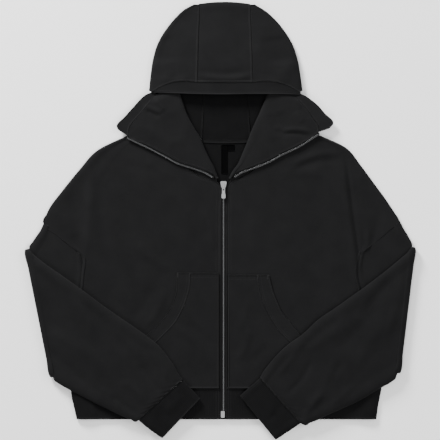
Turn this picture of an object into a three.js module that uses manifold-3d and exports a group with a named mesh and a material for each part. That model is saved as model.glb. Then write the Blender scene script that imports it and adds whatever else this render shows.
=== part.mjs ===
// A zip up hoodie laid flat and face up, with both sleeves folded at the elbow and crossed over the front.
// Millimetres. +X is the wearer's left, +Y points to the hood, +Z is up, and the surface it lies on is z = 0.
import * as THREE from "three";
import { mergeVertices } from "three/addons/utils/BufferGeometryUtils.js";
import Module from "manifold-3d";

// Driving dimensions
const CLOTH = 2.2; // brushed fleece wall
const RIB = 2.6; // rib knit wall of the cuffs and the hem band
const TAPE = 1.2; // woven zip tape and neck tape
const LABEL = 0.7; // woven label
const SEAM = 0.3; // gap between sewn pieces
const ZIP_X = 7; // the zip runs a little to the wearer's left of the middle
const ZIP_OPENING = 12; // gap between the front edges that the zip fills
const HEM_TOP = -337; // seam between body and hem band
const HEM_BOTTOM = -398;
const ARMPIT_BLEND = 80; // how far in from the side fold the front is lifted by it
const FRONT_BASE = 4.5; // middle surface of the front panels at their edges
const FRONT_LOFT = 1.7; // how far the chest rises above that
const BODY_HALF = 280; // half the width of the body
const CHEST_Y = 60; // height of the fullest part of the chest
const CHEST_REACH = { up: 130, down: 260 }; // how far the fullness runs above and below it
const CHEST_LEAST = 0.25; // share of the loft that stays beyond that
const SLEEVE_HEIGHT = 5.6; // a flattened sleeve, both layers and the air between them
const ELBOW_RADIUS = 0.6; // inside radius of the fold at the elbow
const HOOD_CROWN_Z = 5.5; // middle surface of the hood's upper layer at the crown
const HOOD_BRIM_Z = 17; // the same at the brim
const HOOD_SIDE_Z = 9; // the same at the hood's side fold, by the brim
const CROWN_Y = 436.5; // outermost point of the crown fold
const BRIM_SEAM_Y = 276; // seam between hood and edge band
const BACK_NECK_Y = 158; // lowest point of the back neckline
const POCKET_TOP = -106;
const POCKET_SIDE = 172; // side edge of the pocket, from the middle of the body

const COLOURS = {
  fleece: { color: 0x18181a, roughness: 0.95, metalness: 0 },
  rib: { color: 0x151517, roughness: 0.95, metalness: 0 },
  tape: { color: 0x101011, roughness: 0.85, metalness: 0 },
  label: { color: 0x0b0b0c, roughness: 0.6, metalness: 0 },
  metal: { color: 0xa9abad, roughness: 0.3, metalness: 1 },
};

const hoodie = new THREE.Group();

function addMesh(name, geometry, finish) {
  const mesh = new THREE.Mesh(geometry, new THREE.MeshStandardMaterial(COLOURS[finish]));
  mesh.name = name;
  hoodie.add(mesh);
}

// Small tools for numbers, tables and points

const point = (x, y, z) => new THREE.Vector3(x, y, z);
const clamp01 = (t) => Math.min(1, Math.max(0, t));
const smooth = (t) => clamp01(t) ** 2 * (3 - 2 * clamp01(t));
const mix = (a, b, t) => a + (b - a) * t;

// A table as a list of rows, each an object with the named columns.
function table(columns, rows) {
  const names = columns.split(" ");
  return rows.map((row) => Object.fromEntries(names.map((name, i) => [name, row[i]])));
}

// The value of one column where another column has a given value, straight between rows.
function lookUp(table, byKey, value, key) {
  const rising = table[table.length - 1][byKey] > table[0][byKey];
  let i = 0;
  while (i < table.length - 2 && (rising ? table[i + 1][byKey] < value : table[i + 1][byKey] > value)) i += 1;
  const f = clamp01((value - table[i][byKey]) / (table[i + 1][byKey] - table[i][byKey]));
  return mix(table[i][key], table[i + 1][key], f);
}

// Walls

function geometryFrom(points, triangles) {
  let volume = 0;
  for (const [a, b, c] of triangles) volume += points[a].dot(points[b].clone().cross(points[c]));
  const order = volume < 0 ? ([a, b, c]) => [a, c, b] : (t) => t;
  const geometry = new THREE.BufferGeometry().setFromPoints(points);
  geometry.setIndex(triangles.flatMap(order));
  geometry.computeVertexNormals();
  return geometry;
}

// The two triangles of a quad, cut along its shorter diagonal so that curved cloth stays smooth.
function quad(points, a, b, c, d) {
  const shortAC = points[a].distanceToSquared(points[c]) <= points[b].distanceToSquared(points[d]);
  return shortAC ? [[a, b, c], [a, c, d]] : [[a, b, d], [b, c, d]];
}

function normalsOf(grid) {
  const rows = grid.length;
  const cols = grid[0].length;
  return grid.map((row, i) =>
    row.map((p, j) => {
      const down = grid[Math.min(rows - 1, i + 1)][j].clone().sub(grid[Math.max(0, i - 1)][j]);
      const along = grid[i][Math.min(cols - 1, j + 1)].clone().sub(grid[i][Math.max(0, j - 1)]);
      return down.cross(along).normalize();
    }),
  );
}

// A closed wall of cloth on a grid of points of its middle surface.
function wall(grid, thickness) {
  const rows = grid.length;
  const cols = grid[0].length;
  const normals = normalsOf(grid);
  const half = thickness / 2;
  const points = [];
  for (const side of [half, -half]) {
    grid.forEach((row, i) => {
      row.forEach((p, j) => points.push(p.clone().addScaledVector(normals[i][j], side)));
    });
  }
  const at = (side, i, j) => side * rows * cols + i * cols + j;
  const triangles = [];
  for (let i = 0; i < rows - 1; i += 1) {
    for (let j = 0; j < cols - 1; j += 1) {
      triangles.push(...quad(points, at(0, i, j), at(0, i + 1, j), at(0, i + 1, j + 1), at(0, i, j + 1)));
      triangles.push(...quad(points, at(1, i, j), at(1, i, j + 1), at(1, i + 1, j + 1), at(1, i + 1, j)));
    }
    triangles.push(...quad(points, at(0, i, 0), at(1, i, 0), at(1, i + 1, 0), at(0, i + 1, 0)));
    const last = cols - 1;
    triangles.push(...quad(points, at(0, i + 1, last), at(1, i + 1, last), at(1, i, last), at(0, i, last)));
  }
  for (let j = 0; j < cols - 1; j += 1) {
    triangles.push(...quad(points, at(0, 0, j + 1), at(1, 0, j + 1), at(1, 0, j), at(0, 0, j)));
    const last = rows - 1;
    triangles.push(...quad(points, at(0, last, j), at(1, last, j), at(1, last, j + 1), at(0, last, j + 1)));
  }
  return geometryFrom(points, triangles);
}

// A closed wall between matching outer and inner rings, open at both ends.
function tubeWall(outer, inner) {
  const rows = outer.length;
  const cols = outer[0].length;
  const points = [...outer.flat(), ...inner.flat()];
  const at = (side, i, j) => side * rows * cols + i * cols + (j % cols);
  const triangles = [];
  for (let j = 0; j < cols; j += 1) {
    for (let i = 0; i < rows - 1; i += 1) {
      triangles.push(...quad(points, at(0, i, j), at(0, i + 1, j), at(0, i + 1, j + 1), at(0, i, j + 1)));
      triangles.push(...quad(points, at(1, i, j), at(1, i, j + 1), at(1, i + 1, j + 1), at(1, i + 1, j)));
    }
    const last = rows - 1;
    triangles.push(...quad(points, at(0, 0, j + 1), at(1, 0, j + 1), at(1, 0, j), at(0, 0, j)));
    triangles.push(...quad(points, at(0, last, j), at(1, last, j), at(1, last, j + 1), at(0, last, j + 1)));
  }
  return geometryFrom(points, triangles);
}

// Front panels. Each row runs from the zip or neckline, across the soft fold by the armhole, to the outer
// edge. rolls is 1 where that edge turns down to the back panel, and 0 where the sleeve is sewn on.

const RIGHT_FRONT = table("innerX innerY foldX foldY outerX outerY foldZ outerZ rolls", [
  [-98, 185, -150, 176, -186, 168, 4.5, 4.1, 1],
  [-90, 150, -205, 142, -249, 136, 4.5, 4.1, 1],
  [-76, 120, -238, 106, -279, 103, 4.6, 4.1, 1],
  [-60, 100, -261, 70, -317, 56, 5, 4.1, 1],
  [-34, 84, -264, 38, -342, 22, 5.5, 4.1, 1],
  [-2, 72, -265, 12, -352.6, -8.7, 5.9, 4.2, 0],
  [1, 20, -267, -20, -327.6, -30.8, 6.2, 4.4, 0],
  [1, -30, -270, -47, -301.6, -52.2, 6.5, 4.6, 0],
  [1, -72, -272, -74, -277.5, -74.5, 6.6, 6.2, 1],
  [1, -110, -274, -110, -279, -110, 6.5, 6.2, 1],
  [1, -150, -278, -150, -283, -150, 6, 5.8, 1],
  [1, -200, -283, -200, -288, -200, 5.4, 5.2, 1],
  [1, -268, -288, -268, -293, -268, 4.7, 4.5, 1],
  [1, HEM_TOP, -294, HEM_TOP, -299, HEM_TOP, 4.5, 4.2, 1],
]);
const LEFT_FRONT = table("innerX innerY foldX foldY outerX outerY foldZ outerZ rolls", [
  [106, 185, 160, 176, 201, 168, 4.5, 4.1, 1],
  [98, 150, 215, 146, 256, 141, 4.5, 4.1, 1],
  [84, 120, 240, 112, 281, 110, 4.6, 4.1, 1],
  [68, 100, 249, 80, 309, 72, 5, 4.1, 1],
  [42, 84, 251, 48, 337, 33, 5.5, 4.1, 1],
  [16, 72, 254, 14, 358, -4, 5.9, 4.2, 0],
  [13, 20, 258, -10, 342, -18.6, 6.2, 4.4, 0],
  [13, -30, 263, -35, 312.5, -43.8, 6.5, 4.5, 0],
  [13, -66, 269, -64, 286, -66, 6.6, 4.8, 0],
  [13, -106, 272, -104, 277, -104, 6.5, 6.2, 1],
  [13, -150, 283, -150, 288, -150, 6, 5.8, 1],
  [13, -200, 293, -200, 298, -200, 5.4, 5.2, 1],
  [13, -268, 305, -268, 310, -268, 4.7, 4.5, 1],
  [13, HEM_TOP, 318, HEM_TOP, 323, HEM_TOP, 4.5, 4.2, 1],
]);
const ROLL_WIDTH = 4; // width of the edge that turns down
const ROLL_FOOT = 1.4; // middle surface at the foot of that edge
const ROLL_SHARE = 0.7; // most of a short outer stretch that the turned edge may take
const STEP_WIDTH = 9; // width of the step down at the fold by the armhole
const STEP_SHARE = 0.6; // most of the flat stretch that the step may take
const FRONT_STEPS = 8; // points across a front, from the zip to the fold
const ROLL_ANGLES = [30, 60, 90];

// Height of the front panels' middle surface, away from the side folds.
function frontHeight(x, y) {
  const across = clamp01(Math.abs(x - ZIP_X) / BODY_HALF);
  const reach = y > CHEST_Y ? CHEST_REACH.up : CHEST_REACH.down;
  const chest = mix(CHEST_LEAST, 1, smooth(1 - Math.abs(y - CHEST_Y) / reach));
  return FRONT_BASE + FRONT_LOFT * chest * Math.sin(Math.PI * across);
}

function frontRow(row) {
  const points = [];
  for (let k = 0; k <= FRONT_STEPS; k += 1) {
    const s = k / FRONT_STEPS;
    const x = mix(row.innerX, row.foldX, s);
    const y = mix(row.innerY, row.foldY, s);
    const lift = row.foldZ - frontHeight(row.foldX, row.foldY);
    const near = smooth(1 - Math.abs(x - row.foldX) / ARMPIT_BLEND);
    points.push(point(x, y, frontHeight(x, y) + lift * near));
  }
  const length = Math.hypot(row.outerX - row.foldX, row.outerY - row.foldY);
  const flat = length - Math.min(ROLL_WIDTH, length * ROLL_SHARE);
  const place = (d, z) => {
    const s = d / length;
    return point(mix(row.foldX, row.outerX, s), mix(row.foldY, row.outerY, s), z);
  };
  const step = Math.min(STEP_WIDTH, flat * STEP_SHARE);
  points.push(place(step, row.outerZ));
  points.push(place(flat, row.outerZ));
  const drop = row.rolls * (row.outerZ - ROLL_FOOT);
  for (const angle of ROLL_ANGLES) {
    const a = THREE.MathUtils.degToRad(angle);
    points.push(place(mix(flat, length - CLOTH / 2, Math.sin(a)), row.outerZ - drop * (1 - Math.cos(a))));
  }
  return points;
}

addMesh("right_front", wall(RIGHT_FRONT.map(frontRow), CLOTH), "fleece");
addMesh("left_front", wall(LEFT_FRONT.map(frontRow), CLOTH), "fleece");

// The back panel lies flat on the surface, inside the fronts' edges. Its top row dips at the back neck.

const BACK_COLUMNS = 14;
const BACK_INSET = 4.4; // the fronts' edges turn down outside the back panel
const SEWN_INSET = 0.2; // the same where the sleeve is sewn on

function backRow(right, left, neck) {
  const inset = (row) => (row.rolls ? BACK_INSET : SEWN_INSET);
  const rightX = right.outerX + inset(right);
  const leftX = left.outerX - inset(left);
  const points = [];
  for (let k = 0; k <= BACK_COLUMNS; k += 1) {
    const s = k / BACK_COLUMNS;
    const x = mix(rightX, leftX, s);
    const y = mix(right.outerY, left.outerY, s);
    points.push(point(x, neck ? neck(x, y) : y, CLOTH / 2));
  }
  return points;
}

// The shoulder line rises to the neck points and the back neckline dips between them.
const BACK_NECK = table("x y", [
  [-186, 163],
  [-98, 182],
  [-70, 168],
  [-46, BACK_NECK_Y - 1],
  [62, BACK_NECK_Y - 1],
  [86, 168],
  [106, 182],
  [201, 163],
]);
const backNeck = (x) => lookUp(BACK_NECK, "x", x, "y");
addMesh(
  "back_body",
  wall(RIGHT_FRONT.map((row, i) => backRow(row, LEFT_FRONT[i], i === 0 ? backNeck : null)), CLOTH),
  "fleece",
);

// Kangaroo pockets on the fronts. opening is the outer edge of the bound opening, seam its inner edge,
// both as distances from the middle of the body.

const RIGHT_OPENING = table("y seam opening", [
  [POCKET_TOP, 59, 86],
  [-136, 61.5, 86],
  [-160, 68, 92],
  [-184, 78, 104],
  [-206, 91, 120],
  [-226, 110, 141],
  [-246, 130, 162],
]);
const LEFT_OPENING = table("y seam opening", [
  [POCKET_TOP - 4, 74, 98],
  [-136, 78, 104],
  [-160, 84, 113],
  [-184, 94, 124],
  [-206, 107, 142],
  [-226, 122, 158],
  [-244, 140, 167],
]);
const BINDING_END = { y: -266, seam: 154 }; // where the binding meets the pocket's side edge
const POCKET_LIFT = CLOTH + SEAM; // pocket cloth above the front's middle surface
const POCKET_FRONT_EDGE = { right: -3, left: 17 };
const POCKET_COLUMNS = 6;
const POCKET_FOOT = [BINDING_END.y - 2, -300, HEM_TOP + 1]; // rows below the opening

function pocketPoint(x, y) {
  return point(x, y, frontHeight(x, y) + POCKET_LIFT);
}

function pocket(side, sign, table) {
  const last = table[table.length - 1];
  const rows = table.map((row) => ({ y: row.y, outer: row.seam }));
  rows.push({ y: (last.y + BINDING_END.y) / 2, outer: (last.seam + BINDING_END.seam) / 2 });
  rows.push({ y: BINDING_END.y, outer: BINDING_END.seam });
  for (const y of POCKET_FOOT) rows.push({ y, outer: POCKET_SIDE });
  const grid = rows.map((row) => {
    const points = [];
    const outer = sign * (row.outer - SEAM);
    for (let k = 0; k <= POCKET_COLUMNS; k += 1) {
      points.push(pocketPoint(mix(POCKET_FRONT_EDGE[side], outer, k / POCKET_COLUMNS), row.y));
    }
    return points;
  });
  addMesh(side + "_pocket", wall(grid, CLOTH), "fleece");
  // The binding follows the opening down to the pocket's side edge.
  const edge = table.map((row) => [
    pocketPoint(sign * (row.seam + SEAM), row.y),
    pocketPoint(sign * ((row.seam + row.opening) / 2), row.y),
    pocketPoint(sign * row.opening, row.y),
  ]);
  const foot = [BINDING_END.seam + SEAM, (BINDING_END.seam + POCKET_SIDE) / 2, POCKET_SIDE];
  edge.push(foot.map((x) => pocketPoint(sign * x, BINDING_END.y)));
  addMesh(side + "_pocket_edge", wall(edge, CLOTH), "fleece");
}

pocket("right", -1, RIGHT_OPENING);
pocket("left", 1, LEFT_OPENING);

// Sleeves: rings from the armhole seam down to the elbow, round the fold there, and back up over the front
// to the cuff. a is the ring's upper edge and b its lower edge; az and bz are the heights of its underside.

const RIGHT_UPPER_SLEEVE = table("ax ay bx by", [
  [-352.5, -9.5, -287, -67.5],
  [-359, -20, -281, -104],
  [-367, -32, -285.5, -150],
  [-374.5, -43, -300, -202],
  [-380.5, -51, -318, -256],
]);
const RIGHT_ELBOW = { ax: -385, ay: -58, bx: -334, by: -314 };
const RIGHT_FOREARM = table("ax ay az bx by bz", [
  [-372, -70, 6.8, -330, -321, 6.8],
  [-352, -86, 7.4, -317, -330, 6.8],
  [-322, -107, 8.3, -297, -341, 6.8],
  [-278, -138, 9.4, -270, -355, 7],
  [-238, -168, 9.4, -249, -366, 7.4],
  [-198, -196, 9.5, -228, -376, 7.9],
  [-160, -222, 9.6, -208, -386, 8.6],
  [-122, -252, 9.6, -190, -394, 8.8],
  [-98, -282, 9.6, -177, -399, 8.8],
  [-80, -311, 9.5, -167, -402, 8.6],
  [-75.5, -318, 9.4, -162.5, -398.5, 8.5],
]);
const RIGHT_CUFF = table("ax ay az bx by bz", [
  [-75, -318.8, 9.3, -162.5, -399.3, 8.4],
  [-65, -329, 9, -151, -410, 7.2],
  [-52, -343, 8.6, -133, -424, 5.4],
  [-40, -356, 8.2, -116, -436, 3.8],
]);
const LEFT_UPPER_SLEEVE = table("ax ay bx by", [
  [359, -5, 289, -65],
  [366, -15, 279.5, -106],
  [373, -26, 290.5, -150],
  [379, -37, 307, -202],
  [383.5, -47, 332, -254],
]);
const LEFT_ELBOW = { ax: 385.3, ay: -54, bx: 355, by: -306 };
const LEFT_FOREARM = table("ax ay az bx by bz", [
  [376, -64, 6.8, 350, -317, 6.8],
  [360, -78, 7.2, 340, -325, 6.8],
  [332, -101, 8.1, 322, -335, 6.8],
  [290, -133, 9.4, 294, -352, 6.9],
  [262, -153, 9.4, 270, -365, 7.2],
  [228, -177, 9.5, 250, -374, 7.6],
  [196, -199, 9.6, 230, -383, 8.4],
  [166, -227, 9.6, 212, -391, 8.8],
  [134, -250, 9.6, 196, -399, 8.8],
  [106, -278, 9.6, 180, -405, 8.8],
  [84, -307, 9.5, 168, -409, 8.6],
  [80, -315, 9.4, 161, -405, 8.5],
]);
const LEFT_CUFF = table("ax ay az bx by bz", [
  [79.5, -315.8, 9.3, 160.8, -405.8, 8.3],
  [68, -326, 9, 148, -415, 7],
  [54, -338, 8.6, 130, -427, 5.2],
  [40, -351, 8.2, 112, -439, 3.8],
]);
const SLEEVE_LOFT = 1.6; // how far the upper layer of a folded sleeve stands above its edges
const FLAT_STEPS = 7; // points along each flat side of a ring
const ROUND_STEPS = 3; // points round each edge of a ring, between the flat sides
const FOLD_STEPS = 6;
const RISE_ON_FOREARM = 0.15; // share of the loft that the first ring after the fold has
const RISE_ROWS = 3; // rings over which it grows to the whole
const CUFF_SHARE = 0.5; // share of the loft at the cuff's seam and along the cuff

// A flattened ring: up is the direction of its upper side, loft lifts the middle of that side.
function flatRing(a, b, up, half, loft, height) {
  const along = b.clone().sub(a).normalize();
  const centreA = a.clone().addScaledVector(along, height / 2);
  const centreB = b.clone().addScaledVector(along, -height / 2);
  const ring = [];
  for (let k = 0; k <= FLAT_STEPS; k += 1) {
    const s = k / FLAT_STEPS;
    const lift = half + loft * Math.sin(Math.PI * s);
    ring.push(centreA.clone().lerp(centreB, s).addScaledVector(up, lift));
  }
  for (let k = 1; k <= ROUND_STEPS; k += 1) {
    const angle = (Math.PI * k) / (ROUND_STEPS + 1);
    const spot = centreB.clone().addScaledVector(along, half * Math.sin(angle));
    ring.push(spot.addScaledVector(up, half * Math.cos(angle)));
  }
  for (let k = FLAT_STEPS; k >= 0; k -= 1) {
    ring.push(centreA.clone().lerp(centreB, k / FLAT_STEPS).addScaledVector(up, -half));
  }
  for (let k = 1; k <= ROUND_STEPS; k += 1) {
    const angle = (Math.PI * k) / (ROUND_STEPS + 1);
    const spot = centreA.clone().addScaledVector(along, -half * Math.sin(angle));
    ring.push(spot.addScaledVector(up, -half * Math.cos(angle)));
  }
  return ring;
}

const UP = point(0, 0, 1);

// The rings of a sleeve as centre lines: two edge points, the direction of the upper side and its loft.
function sleeveLines(upper, elbow, forearm) {
  const half = SLEEVE_HEIGHT / 2;
  const level = (x, y) => point(x, y, half);
  const lines = upper.map((row) => ({ a: level(row.ax, row.ay), b: level(row.bx, row.by), up: UP, loft: 0 }));
  const pivotHeight = SLEEVE_HEIGHT + ELBOW_RADIUS;
  const radius = half + ELBOW_RADIUS;
  const side = point(elbow.bx - elbow.ax, elbow.by - elbow.ay, 0).normalize();
  const outward = side.clone().cross(UP);
  if (outward.x * elbow.ax < 0) outward.negate();
  for (let k = 0; k <= FOLD_STEPS; k += 1) {
    const angle = (Math.PI * k) / FOLD_STEPS;
    const radial = outward.clone().multiplyScalar(Math.sin(angle)).addScaledVector(UP, -Math.cos(angle));
    const onto = (x, y) => point(x, y, pivotHeight).addScaledVector(radial, radius);
    const a = onto(elbow.ax, elbow.ay);
    const b = onto(elbow.bx, elbow.by);
    lines.push({ a, b, up: radial.clone().negate(), loft: 0 });
  }
  forearm.forEach((row, i) => {
    const full = smooth(i / RISE_ROWS) * (i < forearm.length - 1 ? 1 : CUFF_SHARE);
    const grow = i === 0 ? RISE_ON_FOREARM : full;
    const a = point(row.ax, row.ay, row.az + half);
    const b = point(row.bx, row.by, row.bz + half);
    lines.push({ a, b, up: UP.clone().negate(), loft: -SLEEVE_LOFT * grow });
  });
  return lines;
}

// On the forearm the ring has turned over, so the loft goes to the side that started underneath.
function ringsOf(lines, height, thickness) {
  const build = (inset) =>
    lines.map(({ a, b, up, loft }) => {
      const half = height / 2 - inset;
      const turned = loft < 0;
      const ring = flatRing(a, b, up, half, turned ? 0 : loft, height);
      if (turned) {
        for (let k = 0; k <= FLAT_STEPS; k += 1) {
          const lift = -loft * Math.sin((Math.PI * k) / FLAT_STEPS);
          ring[FLAT_STEPS + 1 + ROUND_STEPS + (FLAT_STEPS - k)].addScaledVector(UP, lift);
        }
      }
      return ring;
    });
  return tubeWall(build(0), build(thickness));
}

addMesh(
  "right_sleeve",
  ringsOf(sleeveLines(RIGHT_UPPER_SLEEVE, RIGHT_ELBOW, RIGHT_FOREARM), SLEEVE_HEIGHT, CLOTH),
  "fleece",
);
addMesh(
  "left_sleeve",
  ringsOf(sleeveLines(LEFT_UPPER_SLEEVE, LEFT_ELBOW, LEFT_FOREARM), SLEEVE_HEIGHT, CLOTH),
  "fleece",
);

// Cuffs of rib, a little thicker than the sleeve, bending down over the hem

const CUFF_HEIGHT = 6;

function cuffLines(table) {
  const half = CUFF_HEIGHT / 2;
  return table.map((row) => ({
    a: point(row.ax, row.ay, row.az + half),
    b: point(row.bx, row.by, row.bz + half),
    up: UP,
    loft: SLEEVE_LOFT * CUFF_SHARE,
  }));
}

addMesh("right_cuff", ringsOf(cuffLines(RIGHT_CUFF), CUFF_HEIGHT, RIB), "rib");
addMesh("left_cuff", ringsOf(cuffLines(LEFT_CUFF), CUFF_HEIGHT, RIB), "rib");

// The hem band is one strip from the zip round the side fold, across the back and round to the zip again.

const HEM_ROWS = table("y rightX leftX", [
  [HEM_TOP - SEAM, -299, 323],
  [-358, -296, 319],
  [-380, -291, 315],
  [HEM_BOTTOM, -287, 313],
]);
const HEM_FRONT_STEPS = 6;
const HEM_BACK_STEPS = 8;
const HEM_FOLD_STEPS = 4;
const HEM_RADIUS = (RIB + SEAM) / 2; // middle of the band round its side folds

function hemRow({ y, rightX, leftX }) {
  const rightFold = rightX + RIB / 2 + HEM_RADIUS;
  const leftFold = leftX - RIB / 2 - HEM_RADIUS;
  const low = RIB / 2;
  const high = low + 2 * HEM_RADIUS;
  const points = [];
  for (let k = 0; k < HEM_FRONT_STEPS; k += 1) {
    points.push(point(mix(ZIP_X - ZIP_OPENING / 2, rightFold, k / HEM_FRONT_STEPS), y, high));
  }
  for (let k = 0; k <= HEM_FOLD_STEPS; k += 1) {
    const angle = (Math.PI * k) / HEM_FOLD_STEPS;
    points.push(point(rightFold - HEM_RADIUS * Math.sin(angle), y, low + HEM_RADIUS * (1 + Math.cos(angle))));
  }
  for (let k = 1; k < HEM_BACK_STEPS; k += 1) {
    points.push(point(mix(rightFold, leftFold, k / HEM_BACK_STEPS), y, low));
  }
  for (let k = 0; k <= HEM_FOLD_STEPS; k += 1) {
    const angle = (Math.PI * k) / HEM_FOLD_STEPS;
    points.push(point(leftFold + HEM_RADIUS * Math.sin(angle), y, low + HEM_RADIUS * (1 - Math.cos(angle))));
  }
  for (let k = HEM_FRONT_STEPS - 1; k >= 0; k -= 1) {
    points.push(point(mix(ZIP_X + ZIP_OPENING / 2, leftFold, k / HEM_FRONT_STEPS), y, high));
  }
  return points;
}

addMesh("hem_band", wall(HEM_ROWS.map(hemRow), RIB), "rib");

// Hood. The centre panel runs from the brim over the crown fold and down the back layer to the neck.

const CROWN_RADIUS = (HOOD_CROWN_Z - CLOTH / 2) / 2; // middle of the cloth round the crown fold
const CROWN_FOLD_Y = CROWN_Y - CROWN_RADIUS - CLOTH / 2;
const CROWN_BOW = 4; // how far the crown falls away from its middle to the seams
const CROWN_BOW_REACH = 70;
const CROWN_ANGLES = [30, 60, 90, 120, 150];
const HOOD_SEAM_GAP = 0.6; // the curved hood panels keep twice the gap of the flat ones
const HOOD_CENTRE_UPPER = table("y rightX leftX", [
  [BRIM_SEAM_Y, -46, 64],
  [300, -45.5, 63.5],
  [330, -45, 63],
  [360, -44, 62],
  [390, -43, 61],
  [414, -42, 60],
  [CROWN_FOLD_Y, -42, 60],
]);
const HOOD_CENTRE_BACK = table("y rightX leftX", [
  [CROWN_FOLD_Y, -41, 60],
  [410, -39, 59],
  [370, -37, 57],
  [320, -35, 56],
  [270, -34, 55],
  [218, -34, 57],
  [BACK_NECK_Y, -37, 61],
]);
const HOOD_COLUMNS = 6;
const HOOD_CROSS_CROWN = 1.2; // how far the centre panel bulges between its seams

function hoodUpperZ(y) {
  return mix(HOOD_CROWN_Z, HOOD_BRIM_Z, smooth((CROWN_FOLD_Y - y) / (CROWN_FOLD_Y - BRIM_SEAM_Y)));
}

function hoodCentreRow({ rightX, leftX, y }, z, bulge) {
  const points = [];
  for (let k = 0; k <= HOOD_COLUMNS; k += 1) {
    const u = (2 * k) / HOOD_COLUMNS - 1;
    const near = smooth(1 - (CROWN_FOLD_Y - Math.min(y, CROWN_FOLD_Y)) / CROWN_BOW_REACH);
    const x = mix(rightX + HOOD_SEAM_GAP / 2, leftX - HOOD_SEAM_GAP / 2, k / HOOD_COLUMNS);
    points.push(point(x, y - CROWN_BOW * near * u * u, z + bulge * (1 - u * u)));
  }
  return points;
}

const hoodCentre = HOOD_CENTRE_UPPER.map((row) => hoodCentreRow(row, hoodUpperZ(row.y), HOOD_CROSS_CROWN));
const crownRow = HOOD_CENTRE_UPPER[HOOD_CENTRE_UPPER.length - 1];
for (const angle of CROWN_ANGLES) {
  const a = THREE.MathUtils.degToRad(angle);
  const row = { ...crownRow, y: CROWN_FOLD_Y + CROWN_RADIUS * Math.sin(a) };
  const share = (1 + Math.cos(a)) / 2;
  hoodCentre.push(hoodCentreRow(row, CLOTH / 2 + 2 * CROWN_RADIUS * share, HOOD_CROSS_CROWN * share));
}
hoodCentre.push(...HOOD_CENTRE_BACK.map((row) => hoodCentreRow(row, CLOTH / 2, 0)));
addMesh("hood_centre", wall(hoodCentre, CLOTH), "fleece");

// Side panels. Each row runs from the upper seam out to the side fold and back under to the back seam.
// topBow and backBow push the middle of those two stretches towards the crown and towards the shoulder.

const RIGHT_HOOD = table("topX topY foldX foldY backX backY topBow backBow", [
  [-42, 430.5, -53, 430.5, -41, 429, 0, 0],
  [-42, 420, -72, 420, -40, 415, 0, 0],
  [-42, 405, -90, 403, -39, 395, 0, 0],
  [-43, 385, -108, 381, -37.5, 370, 0, 0],
  [-44, 360, -124, 354, -36, 336, 2, 0],
  [-45, 330, -134, 322, -35, 290, 5, 3],
  [-45.5, 302, -139, 289, -34, 230, 8, 10],
  [-46, BRIM_SEAM_Y, -142, 259, -37, 163, 10, 20],
]);
const LEFT_HOOD = table("topX topY foldX foldY backX backY topBow backBow", [
  [60, 430.5, 70, 430.5, 60, 429, 0, 0],
  [60, 420, 90, 418.5, 59, 415, 0, 0],
  [60, 405, 110, 401, 58.5, 395, 0, 0],
  [61, 385, 129, 378, 57, 370, 0, 0],
  [62, 360, 144, 353, 56, 336, 2, 0],
  [63, 330, 155, 322, 55.5, 290, 5, 3],
  [63.5, 302, 161, 289, 56, 230, 8, 10],
  [64, BRIM_SEAM_Y, 165, 259, 61, 163, 10, 20],
]);
const HOOD_TOP_STEPS = 6;
const HOOD_SIDE_FOLD = [45, 90, 135];
const HOOD_BACK_STEPS = 6;

// The upper stretch of a side panel's row, from the seam with the centre panel to the side fold.
function hoodUpperStretch(row, share) {
  const out = Math.sign(row.foldX);
  const sideZ = mix(HOOD_CROWN_Z, HOOD_SIDE_Z, share);
  const radius = (sideZ - CLOTH / 2) / 2;
  const middle = point((row.topX + row.backX) / 2, (row.topY + row.backY) / 2, 0);
  const outward = point(row.foldX, row.foldY, 0).sub(middle).normalize();
  const start = point(row.foldX, row.foldY, 0).addScaledVector(outward, -radius - CLOTH / 2);
  const seamX = row.topX + (out * HOOD_SEAM_GAP) / 2;
  const points = [];
  for (let k = 0; k <= HOOD_TOP_STEPS; k += 1) {
    const s = k / HOOD_TOP_STEPS;
    const z = sideZ + (hoodUpperZ(row.topY) - sideZ) * Math.cos((Math.PI * s) / 2);
    const y = mix(row.topY, start.y, s) + row.topBow * Math.sin(Math.PI * s);
    points.push(point(mix(seamX, start.x, s), y, z));
  }
  return { points, start, outward, radius, out };
}

function hoodSideRow(row, share) {
  const { points, start, outward, radius, out } = hoodUpperStretch(row, share);
  for (const angle of HOOD_SIDE_FOLD) {
    const a = THREE.MathUtils.degToRad(angle);
    const spot = start.clone().addScaledVector(outward, radius * Math.sin(a));
    points.push(point(spot.x, spot.y, CLOTH / 2 + radius * (1 + Math.cos(a))));
  }
  const end = point(row.backX + (out * HOOD_SEAM_GAP) / 2, row.backY, 0);
  const along = end.clone().sub(start).normalize();
  const push = point(along.y * out, -along.x * out, 0);
  if (push.y > 0) push.negate();
  for (let k = 0; k <= HOOD_BACK_STEPS; k += 1) {
    const s = k / HOOD_BACK_STEPS;
    const spot = start.clone().lerp(end, s).addScaledVector(push, row.backBow * Math.sin(Math.PI * s));
    points.push(point(spot.x, spot.y, CLOTH / 2));
  }
  return points;
}

const hoodSide = (table) => table.map((row, i) => hoodSideRow(row, i / (table.length - 1)));
addMesh("right_hood_side", wall(hoodSide(RIGHT_HOOD), CLOTH), "fleece");
addMesh("left_hood_side", wall(hoodSide(LEFT_HOOD), CLOTH), "fleece");

// The edge band along the brim hangs from the lower ends of the three hood panels.

const BRIM_EDGE = table("x y", [
  [-142, 254],
  [-126, 255],
  [-54, 252],
  [5, 251],
  [64, 252],
  [122, 252],
  [164, 251],
]);
const BRIM_DROOP = 1; // how far the brim's free edge hangs

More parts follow.
